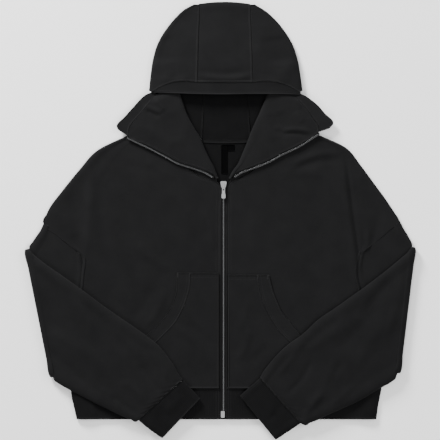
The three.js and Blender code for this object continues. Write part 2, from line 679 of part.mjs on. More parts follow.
function brimBand() {
  const lastRow = (table) => hoodUpperStretch(table[table.length - 1], 1).points;
  const seam = [...lastRow(RIGHT_HOOD).reverse(), ...hoodCentre[0].slice(1, -1), ...lastRow(LEFT_HOOD)];
  return seam.map((p) => {
    const edgeY = lookUp(BRIM_EDGE, "x", p.x, "y");
    const upper = point(p.x, p.y - HOOD_SEAM_GAP, p.z);
    const lower = point(p.x, edgeY, p.z - BRIM_DROOP);
    return [upper, upper.clone().lerp(lower, 0.5), lower];
  });
}

addMesh("hood_band", wall(brimBand(), CLOTH), "fleece");

// Hood fronts, unzipped and rolled outward. Each row runs from the neckline (neck) under to the roll (roll)
// and back over to the zip or the edge band (edge); band is the outer edge of that band, where it has one.

const RIGHT_LAPEL = table("neckX neckY rollX rollY edgeX edgeY edgeZ", [
  [-7.5, 75.3, -3, 84, -10, 90, 8.6],
  [-17.5, 79.3, -12, 106, -29, 99, 9.2],
  [-33.5, 85.3, -20, 121, -51, 107, 9.6],
  [-50.5, 95.3, -29, 140, -82, 117, 9.8],
  [-65.5, 109.3, -38, 162, -110, 132, 10],
  [-78.5, 130.3, -50, 182, -147, 151, 10.2],
  [-89.5, 158.3, -62, 204, -184, 168.5, 10.2],
  [-94.5, 177.3, -68, 217, -181, 186, 10],
  [-98.5, 193.3, -72, 229, -169, 202, 9.6],
  [-104.5, 209.3, -77, 243, -154, 219, 9.2],
  [-112.5, 225.3, -81, 255, -139, 237, 8.8],
  [-116, 238, -90, 263, -128, 251, 4.6],
]);
const RIGHT_LAPEL_BAND = table("row bandX bandY bandZ", [
  [6, -203, 180.5, 9.6],
  [7, -206, 189, 9.2],
  [8, -191, 205, 8.8],
  [9, -174, 224, 8.4],
  [10, -148, 250, 8],
  [11, -132, 256, 4.2],
]);
const LEFT_LAPEL = table("neckX neckY rollX rollY edgeX edgeY edgeZ", [
  [21.3, 75.6, 17, 83, 24, 90, 8.6],
  [30.3, 79.6, 25, 98, 38, 97, 9.2],
  [42.3, 85.6, 36, 113, 66, 108, 9.6],
  [58.3, 95.6, 46, 136, 96, 120, 9.8],
  [73.3, 109.6, 54, 155, 121, 134, 10],
  [86.3, 130.6, 61, 174, 153, 149, 10.2],
  [97.3, 158.6, 70, 195, 196, 176, 10.2],
  [102.3, 177.6, 78, 212, 195, 188, 10],
  [107.3, 193.6, 84, 226, 183, 207, 9.6],
  [114.3, 209.6, 90, 240, 171, 224, 9.2],
  [124.3, 225.6, 96, 255, 156, 240, 8],
  [128, 238, 106, 263, 147, 251, 4.6],
]);
const LEFT_LAPEL_BAND = table("row bandX bandY bandZ", [
  [6, 218, 183.5, 9.6],
  [7, 226, 193, 9.2],
  [8, 209, 213, 8.8],
  [9, 194, 230, 8.4],
  [10, 167, 249.4, 7],
  [11, 152, 255, 4.2],
]);
const LAPEL_RADIUS = 2; // middle of the cloth round the roll
const LAPEL_UNDER_Z = 5.2; // middle of the layer under the roll
const LAPEL_UNDER_STEPS = 3;
const LAPEL_TOP_STEPS = 5;
const LAPEL_CROWN = 1; // how far the rolled front stands up between its roll and its edge
const LAPEL_FULL = 60; // width from which it stands up that far

function lapelRow(row) {
  const neck = point(row.neckX, row.neckY, FRONT_BASE);
  const edge = point(row.edgeX, row.edgeY, row.edgeZ);
  const roll = point(row.rollX, row.rollY, 0);
  const middle = neck.clone().add(edge).multiplyScalar(0.5).setZ(0);
  const outward = roll.clone().sub(middle).normalize();
  const turn = roll.clone().addScaledVector(outward, -LAPEL_RADIUS - CLOTH / 2);
  const points = [];
  for (let k = 0; k <= LAPEL_UNDER_STEPS; k += 1) {
    points.push(neck.clone().lerp(turn.clone().setZ(LAPEL_UNDER_Z), k / LAPEL_UNDER_STEPS));
  }
  for (const angle of HOOD_SIDE_FOLD) {
    const a = THREE.MathUtils.degToRad(angle);
    const spot = turn.clone().addScaledVector(outward, LAPEL_RADIUS * Math.sin(a));
    points.push(spot.setZ(LAPEL_UNDER_Z + LAPEL_RADIUS * (1 - Math.cos(a))));
  }
  const over = turn.clone().setZ(LAPEL_UNDER_Z + 2 * LAPEL_RADIUS);
  const rise = LAPEL_CROWN * clamp01(over.distanceTo(edge) / LAPEL_FULL);
  for (let k = 0; k <= LAPEL_TOP_STEPS; k += 1) {
    const s = k / LAPEL_TOP_STEPS;
    const spot = over.clone().lerp(edge, s);
    points.push(spot.setZ(spot.z + rise * Math.sin(Math.PI * s)));
  }
  return points;
}

function lapelBand(lapel, band) {
  return band.map(({ row, bandX, bandY, bandZ }) => {
    const edge = point(lapel[row].edgeX, lapel[row].edgeY, lapel[row].edgeZ);
    const outer = point(bandX, bandY, bandZ);
    const inner = edge.clone().addScaledVector(outer.clone().sub(edge).normalize(), HOOD_SEAM_GAP);
    return [inner, inner.clone().lerp(outer, 0.5), outer];
  });
}

// The zip tape above the slider lies along the edge of the rolled hood front, up to the edge band.
const TAPE_WIDTH = 5.2;
const TAPE_START_GAP = 2.4; // by the slider, where tape and cloth turn over together
const TAPE_ROWS = 6; // rows of the rolled front that have a zip, counted from the slider

function lapelTape(lapel) {
  const edges = lapel.slice(0, TAPE_ROWS + 1).map((row) => point(row.edgeX, row.edgeY, row.edgeZ));
  return edges.map((edge, i) => {
    const next = edges[Math.min(TAPE_ROWS, i + 1)].clone();
    const tangent = next.sub(edges[Math.max(0, i - 1)]).setZ(0).normalize();
    const away = point(-tangent.y, tangent.x, 0);
    if (away.y > 0) away.negate();
    const gap = i === 0 ? TAPE_START_GAP : HOOD_SEAM_GAP;
    return [edge.clone().addScaledVector(away, gap), edge.clone().addScaledVector(away, gap + TAPE_WIDTH)];
  });
}

addMesh("right_hood_front", wall(RIGHT_LAPEL.map(lapelRow), CLOTH), "fleece");
addMesh("left_hood_front", wall(LEFT_LAPEL.map(lapelRow), CLOTH), "fleece");
addMesh("right_hood_band", wall(lapelBand(RIGHT_LAPEL, RIGHT_LAPEL_BAND), CLOTH), "fleece");
addMesh("left_hood_band", wall(lapelBand(LEFT_LAPEL, LEFT_LAPEL_BAND), CLOTH), "fleece");
addMesh("right_zip_edge", wall(lapelTape(RIGHT_LAPEL), TAPE), "tape");
addMesh("left_zip_edge", wall(lapelTape(LEFT_LAPEL), TAPE), "tape");

// Zip below the slider: two tapes side by side between the front edges, with the box at their foot.

const ZIP_FOOT = -382; // lower end of the tapes
const ZIP_HEAD = 73; // upper end of the closed tapes, inside the slider
const CHAIN_GAP = 0.3; // between the two tapes

function closedTape(sign) {
  const inner = ZIP_X + (sign * CHAIN_GAP) / 2;
  const outer = ZIP_X + sign * (ZIP_OPENING / 2 - SEAM);
  const rows = [ZIP_FOOT, HEM_TOP, -260, -170, -80, 0, 40, ZIP_HEAD];
  return rows.map((y) => [point(inner, y, FRONT_BASE), point(outer, y, FRONT_BASE)]);
}

addMesh("right_zip_tape", wall(closedTape(-1), TAPE), "tape");
addMesh("left_zip_tape", wall(closedTape(1), TAPE), "tape");

// A flat plate with its outline in plan, standing from low to high.
function plate(outline, low, high, holes = []) {
  const shape = new THREE.Shape(outline.map(([x, y]) => new THREE.Vector2(x, y)));
  shape.holes.push(...holes);
  return new THREE.ExtrudeGeometry(shape, { depth: high - low, bevelEnabled: false }).translate(0, 0, low);
}

const BOX = { left: -5.2, right: 2.3, low: 3, high: 6, top: ZIP_FOOT - SEAM, bottom: -395.5, corner: 1.2 };

function boxOutline({ left, right, top, bottom, corner }) {
  return [
    [left + corner, bottom],
    [right - corner, bottom],
    [right, bottom + corner],
    [right, top - corner / 2],
    [right - corner / 2, top],
    [left + corner / 2, top],
    [left, top - corner / 2],
    [left, bottom + corner],
  ];
}

addMesh("zip_box", plate(boxOutline(BOX), BOX.low, BOX.high).translate(ZIP_X, 0, 0), "metal");

// Slider: a plate above the chain and one below, joined by a post between the parting tapes, and a bridge
// on top that holds the pull tab.

const SLIDER = { top: 77.5, bottom: 64, wide: 6, narrow: 4.6, corner: 2 };
const SLIDER_LOWER = { low: 2.6, high: 3.3 };
const SLIDER_UPPER = { low: 5.7, high: 7.9 };
const POST = { half: 0.9, bottom: 74, top: 77 };
const HINGE_Y = 70;
const HINGE_Z = 10; // middle of the pull tab's cross bar
const BRIDGE = { half: 1.2, reach: 5, leg: 1.5, roof: 11.4, top: 12.4 };

function sliderOutline({ top, bottom, wide, narrow, corner }) {
  return [
    [-narrow + corner, bottom],
    [narrow - corner, bottom],
    [narrow, bottom + corner],
    [wide, top - 2 * corner],
    [wide, top - corner / 2],
    [wide - corner, top],
    [corner - wide, top],
    [-wide, top - corner / 2],
    [-wide, top - 2 * corner],
    [-narrow, bottom + corner],
  ];
}

const block = (x0, x1, y0, y1, z0, z1) =>
  plate([[x0, y0], [x1, y0], [x1, y1], [x0, y1]], z0, z1);

const wasm = await Module();
wasm.setup();

function solidFrom(geometry) {
  const bare = new THREE.BufferGeometry().setAttribute("position", geometry.getAttribute("position"));
  if (geometry.index) bare.setIndex(geometry.index);
  const merged = mergeVertices(bare);
  const vertProperties = merged.attributes.position.array;
  const triVerts = new Uint32Array(merged.index.array);
  return new wasm.Manifold(new wasm.Mesh({ numProp: 3, vertProperties, triVerts }));
}

function joined(geometries) {
  const mesh = geometries.map(solidFrom).reduce((whole, piece) => whole.add(piece)).getMesh();
  const geometry = new THREE.BufferGeometry();
  geometry.setAttribute("position", new THREE.BufferAttribute(mesh.vertProperties, 3));
  geometry.setIndex(new THREE.BufferAttribute(mesh.triVerts, 1));
  geometry.computeVertexNormals();
  return geometry;
}

const WELD = 0.2; // how far one part of the slider reaches into the next
const bridgeFoot = SLIDER_UPPER.high - WELD;
const bridgeLow = HINGE_Y - BRIDGE.reach;
const bridgeHigh = HINGE_Y + BRIDGE.reach;
const beam = (half, y0, y1, z0, z1) => block(-half, half, y0, y1, z0, z1);
const sliderParts = [
  plate(sliderOutline(SLIDER), SLIDER_LOWER.low, SLIDER_LOWER.high),
  plate(sliderOutline(SLIDER), SLIDER_UPPER.low, SLIDER_UPPER.high),
  beam(POST.half, POST.bottom, POST.top, SLIDER_LOWER.high - WELD, SLIDER_UPPER.low + WELD),
  beam(BRIDGE.half, bridgeLow, bridgeLow + BRIDGE.leg, bridgeFoot, BRIDGE.top),
  beam(BRIDGE.half, bridgeHigh - BRIDGE.leg, bridgeHigh, bridgeFoot, BRIDGE.top),
  beam(BRIDGE.half, bridgeLow, bridgeHigh, BRIDGE.roof, BRIDGE.top),
];
addMesh("slider", joined(sliderParts).translate(ZIP_X, 0, 0), "metal");

// Pull tab: a flat plate whose window takes the bridge, so that its end bar turns inside it

const TAB = {
  thick: 1.4,
  head: 3.2, // half widths, from the hinge down
  waist: 3,
  foot: 4,
  length: 27,
  corner: 1.6,
  bevel: 0.8,
  crown: 0.7, // the outline's heights, from the hinge down
  neck: -6,
  waistTop: -10,
  waistFoot: -16,
  shoulder: -20,
};
const TAB_WINDOW = { half: 1.7, near: 0.7, far: 5.9 };
const TAB_HOLE = { radius: 1.6, y: -9.5 };

function pullTab() {
  const { head, waist, foot, length, corner, crown, bevel, neck, waistTop, waistFoot, shoulder } = TAB;
  const outline = [
    [-head + bevel, crown],
    [-head, crown - bevel],
    [-head, neck],
    [-waist, waistTop],
    [-waist, waistFoot],
    [-foot, shoulder],
    [-foot, -length + corner],
    [-foot + corner, -length],
  ];
  const mirrored = outline.map(([x, y]) => [-x, y]).reverse();
  const window = new THREE.Path(
    [[-1, -1], [1, -1], [1, 1], [-1, 1]].map(
      ([sx, sy]) => new THREE.Vector2(sx * TAB_WINDOW.half, sy < 0 ? -TAB_WINDOW.far : -TAB_WINDOW.near),
    ),
  );
  const hole = new THREE.Path().absarc(0, TAB_HOLE.y, TAB_HOLE.radius, 0, 2 * Math.PI, true);
  return plate([...outline, ...mirrored], -TAB.thick / 2, TAB.thick / 2, [window, hole]);
}

addMesh("pull_tab", pullTab().translate(ZIP_X, HINGE_Y, HINGE_Z), "metal");

// Neck tape over the back neck seam, and the two bare labels below it on the inside of the back

const NECK_TAPE = { right: -34, left: 57, low: 154, high: 160, dip: 1.5 };
const TAPE_Z = CLOTH + SEAM + TAPE / 2;
const NECK_TAPE_STEPS = 8;

function neckTape() {
  const rows = [];
  for (let k = 0; k <= NECK_TAPE_STEPS; k += 1) {
    const u = (2 * k) / NECK_TAPE_STEPS - 1;
    const x = mix(NECK_TAPE.right, NECK_TAPE.left, k / NECK_TAPE_STEPS);
    const rise = NECK_TAPE.dip * u * u;
    rows.push([point(x, NECK_TAPE.low + rise, TAPE_Z), point(x, NECK_TAPE.high + rise, TAPE_Z)]);
  }
  return rows;
}

const LABEL_Z = CLOTH + SEAM;
addMesh("neck_tape", wall(neckTape(), TAPE), "tape");
const LABEL_PLACE = { right: 3, left: 15, low: 92, high: 150 };
const SIZE_LABEL_PLACE = { right: LABEL_PLACE.left + SEAM, left: 29, low: 138, high: 150 };
const lyingLabel = ({ right, left, low, high }) => block(right, left, low, high, LABEL_Z, LABEL_Z + LABEL);
addMesh("label", lyingLabel(LABEL_PLACE), "label");
addMesh("size_label", lyingLabel(SIZE_LABEL_PLACE), "label");

export default hoodie;
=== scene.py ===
"""A black zip up hoodie laid flat and face up, its hood up and its sleeves folded over the front.

Sizes are in millimetres in the frame's axes and turn into metres where a mesh is made. Right and left are
the wearer's, so the right side is at -X. Every cloth piece is a fine wall on the form of its own solid.
"""

from __future__ import annotations

import logging
import math
from dataclasses import dataclass, field
from enum import Enum

import bpy
import numpy as np
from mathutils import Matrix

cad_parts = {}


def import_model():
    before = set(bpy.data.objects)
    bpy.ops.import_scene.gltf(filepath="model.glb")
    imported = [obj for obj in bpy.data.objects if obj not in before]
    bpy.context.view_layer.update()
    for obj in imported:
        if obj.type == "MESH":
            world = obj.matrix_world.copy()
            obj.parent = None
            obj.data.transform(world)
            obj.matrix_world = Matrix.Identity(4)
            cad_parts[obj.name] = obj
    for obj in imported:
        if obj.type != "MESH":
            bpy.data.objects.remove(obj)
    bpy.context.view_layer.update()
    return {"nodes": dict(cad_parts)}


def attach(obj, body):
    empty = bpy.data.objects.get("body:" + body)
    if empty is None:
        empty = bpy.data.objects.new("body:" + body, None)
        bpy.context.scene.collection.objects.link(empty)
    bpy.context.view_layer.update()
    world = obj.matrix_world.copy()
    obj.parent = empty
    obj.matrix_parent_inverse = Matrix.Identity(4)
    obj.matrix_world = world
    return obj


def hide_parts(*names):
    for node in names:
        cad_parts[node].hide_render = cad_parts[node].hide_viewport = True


MM = 0.001
BODY = "garment"
CLOTH = 2.2
RIB = 2.6
TAPE = 1.2
SEAM = 0.3
FINE = 4.0
CREASE_SCALE = 1.7
CREASE_FADE = 0.3
CREASE_START = 0.35
RIB_ROUNDNESS = 0.7
FACING_LEAST = 0.2
FACING_SPAN = 0.6
LIFT_SPAN = 2.0
PUCKER_REACH = 9.0
RIM_SHARE = 0.28
LOG = logging.getLogger("hoodie")


class Slot(Enum):
    """Material slots of the record."""

    FLEECE = "fleece"
    RIB = "rib"
    TAPE = "tape"
    LABEL = "label"
    METAL = "metal"


class Side(Enum):
    """The four edges of a piece's grid of points."""

    FIRST_ROW = 0
    LAST_ROW = 1
    FIRST_COLUMN = 2
    LAST_COLUMN = 3


Row = dict[str, float]
Cut = tuple[float, float, float]


def table(columns: str, rows: list[tuple[float, ...]]) -> list[Row]:
    """Gives each row of numbers its column names.

    Args:
        columns: The names, with spaces between them.
        rows: The numbers, one tuple for each section of the piece.

    Returns:
        One dictionary for each row.
    """
    names = columns.split()
    return [dict(zip(names, row)) for row in rows]


def mix(a: float, b: float, t: float) -> float:
    """The value between a and b at share t."""
    return a + (b - a) * t


def smooth(t: float | np.ndarray) -> float | np.ndarray:
    """A soft step from 0 to 1 as t goes from 0 to 1."""
    t = np.clip(t, 0.0, 1.0)
    return t * t * (3.0 - 2.0 * t)


def look_up(rows: list[Row], key: str, value: float, wanted: str) -> float:
    """One column's value where another has a given value.

    Args:
        rows: A table whose key column rises.
        key: The column that is known.
        value: Its value.
        wanted: The column that is asked for.

    Returns:
        The wanted value, straight between rows.
    """
    return float(np.interp(value, [r[key] for r in rows], [r[wanted] for r in rows]))


def unit(v: np.ndarray) -> np.ndarray:
    """Vectors of length 1 along the last axis."""
    return v / np.maximum(np.linalg.norm(v, axis=-1, keepdims=True), 1e-9)


def finer(points: np.ndarray, step: float, axis: int, wrap: bool = False) -> np.ndarray:
    """Adds rows or columns to a grid on smooth curves through its points.

    Args:
        points: The grid, as rows by columns by 3.
        step: The widest spacing wanted, in millimetres.
        axis: 0 for rows, 1 for columns.
        wrap: True where the last of them is joined to the first.

    Returns:
        The finer grid, which still holds every point given.
    """
    p = np.moveaxis(points, axis, 0)
    if wrap:
        p = np.concatenate([p[-2:], p, p[:3]])
    lengths = np.linalg.norm(np.diff(p, axis=0), axis=-1)
    mean = np.maximum(lengths.mean(axis=1), 1e-3)
    slopes = np.diff(p, axis=0) / mean[:, None, None]
    weights = mean[:, None, None]
    inner = (weights[1:] * slopes[:-1] + weights[:-1] * slopes[1:]) / (weights[1:] + weights[:-1])
    tangents = np.concatenate([slopes[:1], inner, slopes[-1:]])
    out = []
    for i, length in enumerate(mean):
        if wrap and not 2 <= i < len(mean) - 2:
            continue
        count = max(1, int(math.ceil(lengths[i].max() / step)))
        for k in range(count):
            t = k / count
            t2, t3 = t * t, t * t * t
            out.append(
                (2 * t3 - 3 * t2 + 1) * p[i]
                + (t3 - 2 * t2 + t) * length * tangents[i]
                + (3 * t2 - 2 * t3) * p[i + 1]
                + (t3 - t2) * length * tangents[i + 1]
            )
    if not wrap:
        out.append(p[-1])
    return np.moveaxis(np.array(out), 0, axis)


def grid_normals(mid: np.ndarray, wrap: bool) -> np.ndarray:
    """Unit normals of a grid of points, looking up where the grid lies flat.

    Args:
        mid: The grid of points.
        wrap: True where the last column is joined to the first.

    Returns:
        One normal for each point.
    """
    down = np.gradient(mid, axis=0)
    if wrap:
        along = (np.roll(mid, -1, axis=1) - np.roll(mid, 1, axis=1)) / 2
    else:
        along = np.gradient(mid, axis=1)
    return unit(np.cross(down, along))


@dataclass(frozen=True)
class Crease:
    """A soft ridge or trough in cloth, between two points seen from above."""

    start_x: float
    start_y: float
    end_x: float
    end_y: float
    width: float
    height: float
    bow: float = 0.0

    def lift(self, x: np.ndarray, y: np.ndarray) -> np.ndarray:
        """Height of this crease over a set of places.

        Args:
            x: Places along X.
            y: Places along Y.

        Returns:
            How far the cloth is lifted there, in millimetres.
        """
        a, b = np.array((self.start_x, self.start_y)), np.array((self.end_x, self.end_y))
        length = float(np.hypot(*(b - a)))
        d = (b - a) / length
        s = ((x - a[0]) * d[0] + (y - a[1]) * d[1]) / length
        off = (y - a[1]) * d[0] - (x - a[0]) * d[1]
        off = off - self.bow * np.sin(np.pi * np.clip(s, 0, 1))
        fade = smooth(s / CREASE_FADE + CREASE_START) * smooth((1 - s) / CREASE_FADE + CREASE_START)
        return CREASE_SCALE * self.height * fade * np.exp(-((off / self.width) ** 2))


def crease_set(*rows: tuple[float, ...]) -> tuple[Crease, ...]:
    """Creases from rows of numbers in the order of a crease's own fields."""
    return tuple(Crease(*row) for row in rows)


@dataclass(frozen=True)
class Ribs:
    """Ridges of rib knit, side by side."""

    across: Side
    pitch: float = 3.3
    height: float = 0.42

    def lift(self, run: np.ndarray) -> np.ndarray:
        """Height of the ribs at a distance across them."""
        wave = 0.5 + 0.5 * np.cos(2 * np.pi * run / self.pitch)
        return self.height * (wave**RIB_ROUNDNESS - 0.5)


def ripple(x: np.ndarray, y: np.ndarray, seed: float) -> np.ndarray:
    """Slow unevenness of cloth that has been laid down, from -1 to 1."""
    return (
        np.sin(x / 47 + 1.7 * np.sin(y / 83 + seed)) * np.sin(y / 61 + 1.3 * np.sin(x / 71 - seed))
        + 0.5 * np.sin(x / 19 - y / 27 + seed) * np.sin(y / 23 + x / 41 + 2 * seed)
        + 0.25 * np.sin(x / 9.5 + y / 14 + seed) * np.sin(y / 11 - x / 17)
    ) / (1 + 0.5 + 0.25)


@dataclass
class Piece:
    """A sheet of cloth as a grid of points of its middle surface."""

    name: str
    mid: np.ndarray
    thickness: float = CLOTH
    wrap: bool = False
    step: tuple[float, float] = (FINE, FINE)
    up_at: Side = Side.FIRST_COLUMN
    creases: tuple[Crease, ...] = ()
    ripple_height: float = 0.22
    above: float = 0.0
    seed: float = 0.0
    puckers: dict[Side, float] = field(default_factory=dict)
    pucker_pitch: float = 9.0
    ribs: Ribs | None = None
    inside_out: bool = False
    sign: float = field(default=1.0, init=False)
    outer: np.ndarray = field(default=None, init=False)
    inner: np.ndarray = field(default=None, init=False)
    normals: np.ndarray = field(default=None, init=False)

    def __post_init__(self) -> None:
        """Refines the grid, lays creases and ribs in it and finds both faces."""
        mid = finer(self.mid, self.step[1], 1, self.wrap)
        mid = finer(mid, self.step[0], 0)
        normals = grid_normals(mid, self.wrap)
        self.sign = self.outward(mid, normals)
        facing = normals[..., 2] * self.sign
        top = smooth((facing - FACING_LEAST) / FACING_SPAN) * smooth((mid[..., 2] - self.above) / LIFT_SPAN)
        lift = self.ripple_height * ripple(mid[..., 0], mid[..., 1], self.seed)
        for crease in self.creases:
            lift = lift + crease.lift(mid[..., 0], mid[..., 1])
        for side, height in self.puckers.items():
            lift = lift + self.pucker(mid, side, height)
        mid = mid.copy()
        mid[..., 2] = np.maximum(mid[..., 2] + lift * top, self.thickness / 2)
        self.normals = grid_normals(mid, self.wrap) * self.sign
        half = self.thickness / 2
        ridge = self.ribs.lift(self.distance_from(mid, self.ribs.across))[..., None] if self.ribs else 0.0
        self.outer = mid + self.normals * (half + ridge)
        self.inner = mid - self.normals * half
        self.outer[..., 2] = np.maximum(self.outer[..., 2], 0.0)
        self.inner[..., 2] = np.maximum(self.inner[..., 2], 0.0)

    def outward(self, mid: np.ndarray, normals: np.ndarray) -> float:
        """1 where the grid's normals already look out of the cloth's right side, else -1."""
        if self.wrap:
            out = mid - mid.mean(axis=1, keepdims=True)
            return math.copysign(1.0, float((normals * out).sum()))
        edges = {
            Side.FIRST_ROW: normals[:2],
            Side.LAST_ROW: normals[-2:],
            Side.FIRST_COLUMN: normals[:, :2],
            Side.LAST_COLUMN: normals[:, -2:],
        }
        return math.copysign(1.0, float(edges[self.up_at][..., 2].sum()))

    def distance_from(self, mid: np.ndarray, side: Side) -> np.ndarray:
        """Distance of every point from one edge, along the cloth."""
        axis = 0 if side in (Side.FIRST_ROW, Side.LAST_ROW) else 1
        steps = np.linalg.norm(np.diff(mid, axis=axis), axis=-1)
        if side in (Side.LAST_ROW, Side.LAST_COLUMN):
            steps = np.flip(steps, axis)
        total = np.cumsum(steps, axis=axis)
        zero = np.zeros_like(np.take(total, [0], axis=axis))
        total = np.concatenate([zero, total], axis=axis)
        return np.flip(total, axis) if side in (Side.LAST_ROW, Side.LAST_COLUMN) else total

    def pucker(self, mid: np.ndarray, side: Side, height: float) -> np.ndarray:
        """Small gathers that sewing leaves along an edge.

        Args:
            mid: The fine grid.
            side: The sewn edge.
            height: Height of the gathers at the edge.

        Returns:
            The lift of every point.
        """
        away = self.distance_from(mid, side)
        other = Side.FIRST_COLUMN if side in (Side.FIRST_ROW, Side.LAST_ROW) else Side.FIRST_ROW
        run = self.distance_from(mid, other)
        wave = np.sin(2 * np.pi * run / self.pucker_pitch + 2.2 * np.sin(run / 31 + self.seed))
        grow = 0.6 + 0.4 * np.sin(run / 43 + 2 * self.seed)
        return height * wave * grow * np.exp(-((away / PUCKER_REACH) ** 2))

    def line(
        self, side: Side, offset: float, start: float = 0.0, end: float = 1.0
    ) -> tuple[np.ndarray, np.ndarray]:
        """A line on the outer face at a distance from one edge.

        Args:
            side: The edge it follows.
            offset: Distance from that edge.
            start: Share of the edge where it starts.
            end: Share of the edge where it ends.

        Returns:
            Its points and the face's normals there.
        """
        away = self.distance_from(self.outer, side)
        outer, normals = self.outer, self.normals
        if side in (Side.FIRST_ROW, Side.LAST_ROW):
            away, outer, normals = away.T, np.swapaxes(outer, 0, 1), np.swapaxes(normals, 0, 1)
        if side in (Side.LAST_ROW, Side.LAST_COLUMN):
            away, outer, normals = away[:, ::-1], outer[:, ::-1], normals[:, ::-1]
        points, looks = [], []
        count = len(outer)
        for i in range(int(start * (count - 1)), int(round(end * (count - 1))) + 1):
            j = int(np.searchsorted(away[i], offset))
            j = min(max(j, 1), len(away[i]) - 1)
            gap = away[i][j] - away[i][j - 1]
            t = float(np.clip((offset - away[i][j - 1]) / max(gap, 1e-6), 0, 1))
            points.append(outer[i][j - 1] * (1 - t) + outer[i][j] * t)
            looks.append(normals[i][j - 1] * (1 - t) + normals[i][j] * t)
        return np.array(points), unit(np.array(looks))

    def wall(self) -> tuple[bpy.types.Mesh, int]:
        """Makes the closed wall with rounded edges.

        Returns:
            Its mesh and the number of faces of each of its two skins.
        """
        rows, cols = self.outer.shape[:2]
        rim_push = self.thickness * RIM_SHARE
        skins = np.concatenate([self.outer.reshape(-1, 3), self.inner.reshape(-1, 3)])
        size = rows * cols
        faces: list[tuple[int, int, int, int]] = []
        ids = np.arange(size).reshape(rows, cols)
        if self.wrap:
            ids = np.concatenate([ids, ids[:, :1]], axis=1)
        a, b = ids[:-1, :-1].ravel(), ids[1:, :-1].ravel()
        c, d = ids[1:, 1:].ravel(), ids[:-1, 1:].ravel()
        faces += list(zip(a, b, c, d))
        faces += list(zip(a + size, d + size, c + size, b + size))
        if self.wrap:
            loops = [ids[0, :-1][::-1], ids[-1, :-1]]
        else:
            loops = [np.concatenate([ids[0, ::-1], ids[1:, 0], ids[-1, 1:], ids[-2:0:-1, -1]])]
        extra: list[np.ndarray] = []
        middle = (self.outer + self.inner).reshape(-1, 3) / 2
        flat_normals = self.normals.reshape(-1, 3)
        for loop in loops:
            ring = middle[loop]
            tangent = unit(np.roll(ring, -1, axis=0) - np.roll(ring, 1, axis=0))
            out = np.cross(tangent, flat_normals[loop]) * self.sign
            base = 2 * size + sum(len(e) for e in extra)
            extra.append(ring + unit(out) * rim_push)
            n = len(loop)
            for k in range(n):
                m = (k + 1) % n
                faces.append((loop[k], loop[m], base + m, base + k))
                faces.append((base + k, base + m, loop[m] + size, loop[k] + size))
        mesh = mesh_of(self.name, np.concatenate([skins, *extra]), faces)
        self.lay_uv(mesh, size)
        return mesh, len(a)

    def lay(
        self,
        wardrobe: Wardrobe,
        finish: Finish,
        node: str,
        cut: Cut,
        inside: Finish | None = None,
    ) -> None:
        """Args:
            wardrobe: The finishes.
            finish: Its own finish.
            node: The solid that it stands for.
            cut: Width and length of its flat cut in metres, and its area in square metres.
            inside: The finish of its wrong side, where that differs; the one given is darker than the right
                side as painted shade.
        """
        wrong_side = wardrobe.get(inside) if inside else None
        mesh, skin = self.wall()
        made = dress(mesh, self.name, wardrobe, finish, node)
        # The wrong side's darker finish is painted shade.
        if wrong_side:
            mesh.materials.append(wrong_side)
            index = np.zeros(len(mesh.polygons), np.int32)
            index[:skin] = int(self.inside_out)
            index[skin : 2 * skin] = int(not self.inside_out)
            mesh.polygons.foreach_set("material_index", index)
        area = sum(p.area for p in mesh.polygons) / 2
        LOG.info("%s: half its surface is %.4f m2, its cut is %.4f m2", self.name, area, cut[2])

    def lay_uv(self, mesh: bpy.types.Mesh, size: int) -> None:
        """Lays the knit's grain over the piece, in metres along and across it."""
        along = self.distance_from(self.outer, Side.FIRST_COLUMN).ravel()
        down = self.distance_from(self.outer, Side.FIRST_ROW).ravel()
        flat = np.stack([along, down], axis=1) * MM
        places = np.zeros((len(mesh.vertices), 2))
        places[:size] = flat
        places[size : 2 * size] = flat
        layer = mesh.uv_layers.new(name="grain")
        index = np.zeros(len(mesh.loops), np.int32)
        mesh.loops.foreach_get("vertex_index", index)
        uv = places[index]
        layer.data.foreach_set("uv", uv.ravel())


def mesh_of(name: str, points: np.ndarray, faces: list[tuple[int, ...]]) -> bpy.types.Mesh:
    """A mesh from points in millimetres and its faces."""
    mesh = bpy.data.meshes.new(name)
    mesh.from_pydata((points * MM).tolist(), [], [tuple(int(v) for v in f) for f in faces])
    return mesh


def dress(
    mesh: bpy.types.Mesh, name: str, wardrobe: Wardrobe, finish: Finish, *nodes: str
) -> bpy.types.Object:
    """Turns a mesh into a piece of the garment.

    Args:
        mesh: The mesh, in metres.
        name: The piece's name.
        wardrobe: The finishes.
        finish: Its own finish, which names the record's slot.
        nodes: The solids that it stands for.

    Returns:
        The new object.
    """
    obj = bpy.data.objects.new(name, mesh)
    bpy.context.scene.collection.objects.link(obj)
    mesh.materials.append(wardrobe.get(finish))
    mesh.calc_loop_triangles()
    co = np.array([v.co for v in mesh.vertices])
    tri = np.array([t.vertices for t in mesh.loop_triangles])
    a, b, c = co[tri[:, 0]], co[tri[:, 1]], co[tri[:, 2]]
    volume = float(np.einsum("ij,ij->i", a, np.cross(b, c)).sum())
    if volume < 0:
        mesh.flip_normals()
    mesh.polygons.foreach_set("use_smooth", [True] * len(mesh.polygons))
    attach(obj, BODY)
    if nodes:
        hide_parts(*nodes)
    LOG.info("%s: %d faces", name, len(mesh.polygons))
    return obj


# The garment's own sizes, the same as its solids'

ZIP_X = 7.0
ZIP_OPENING = 12.0
HEM_TOP = -337.0
HEM_BOTTOM = -398.0
FRONT_BASE = 4.5
FRONT_LOFT = 1.7
BODY_HALF = 280.0
CHEST_Y = 60.0
BACK_NECK_Y = 158.0
POCKET_SIDE = 172.0
CHEST_REACH_UP = 130.0
CHEST_REACH_DOWN = 260.0
CHEST_LEAST = 0.25
FRONT_STEPS = 8

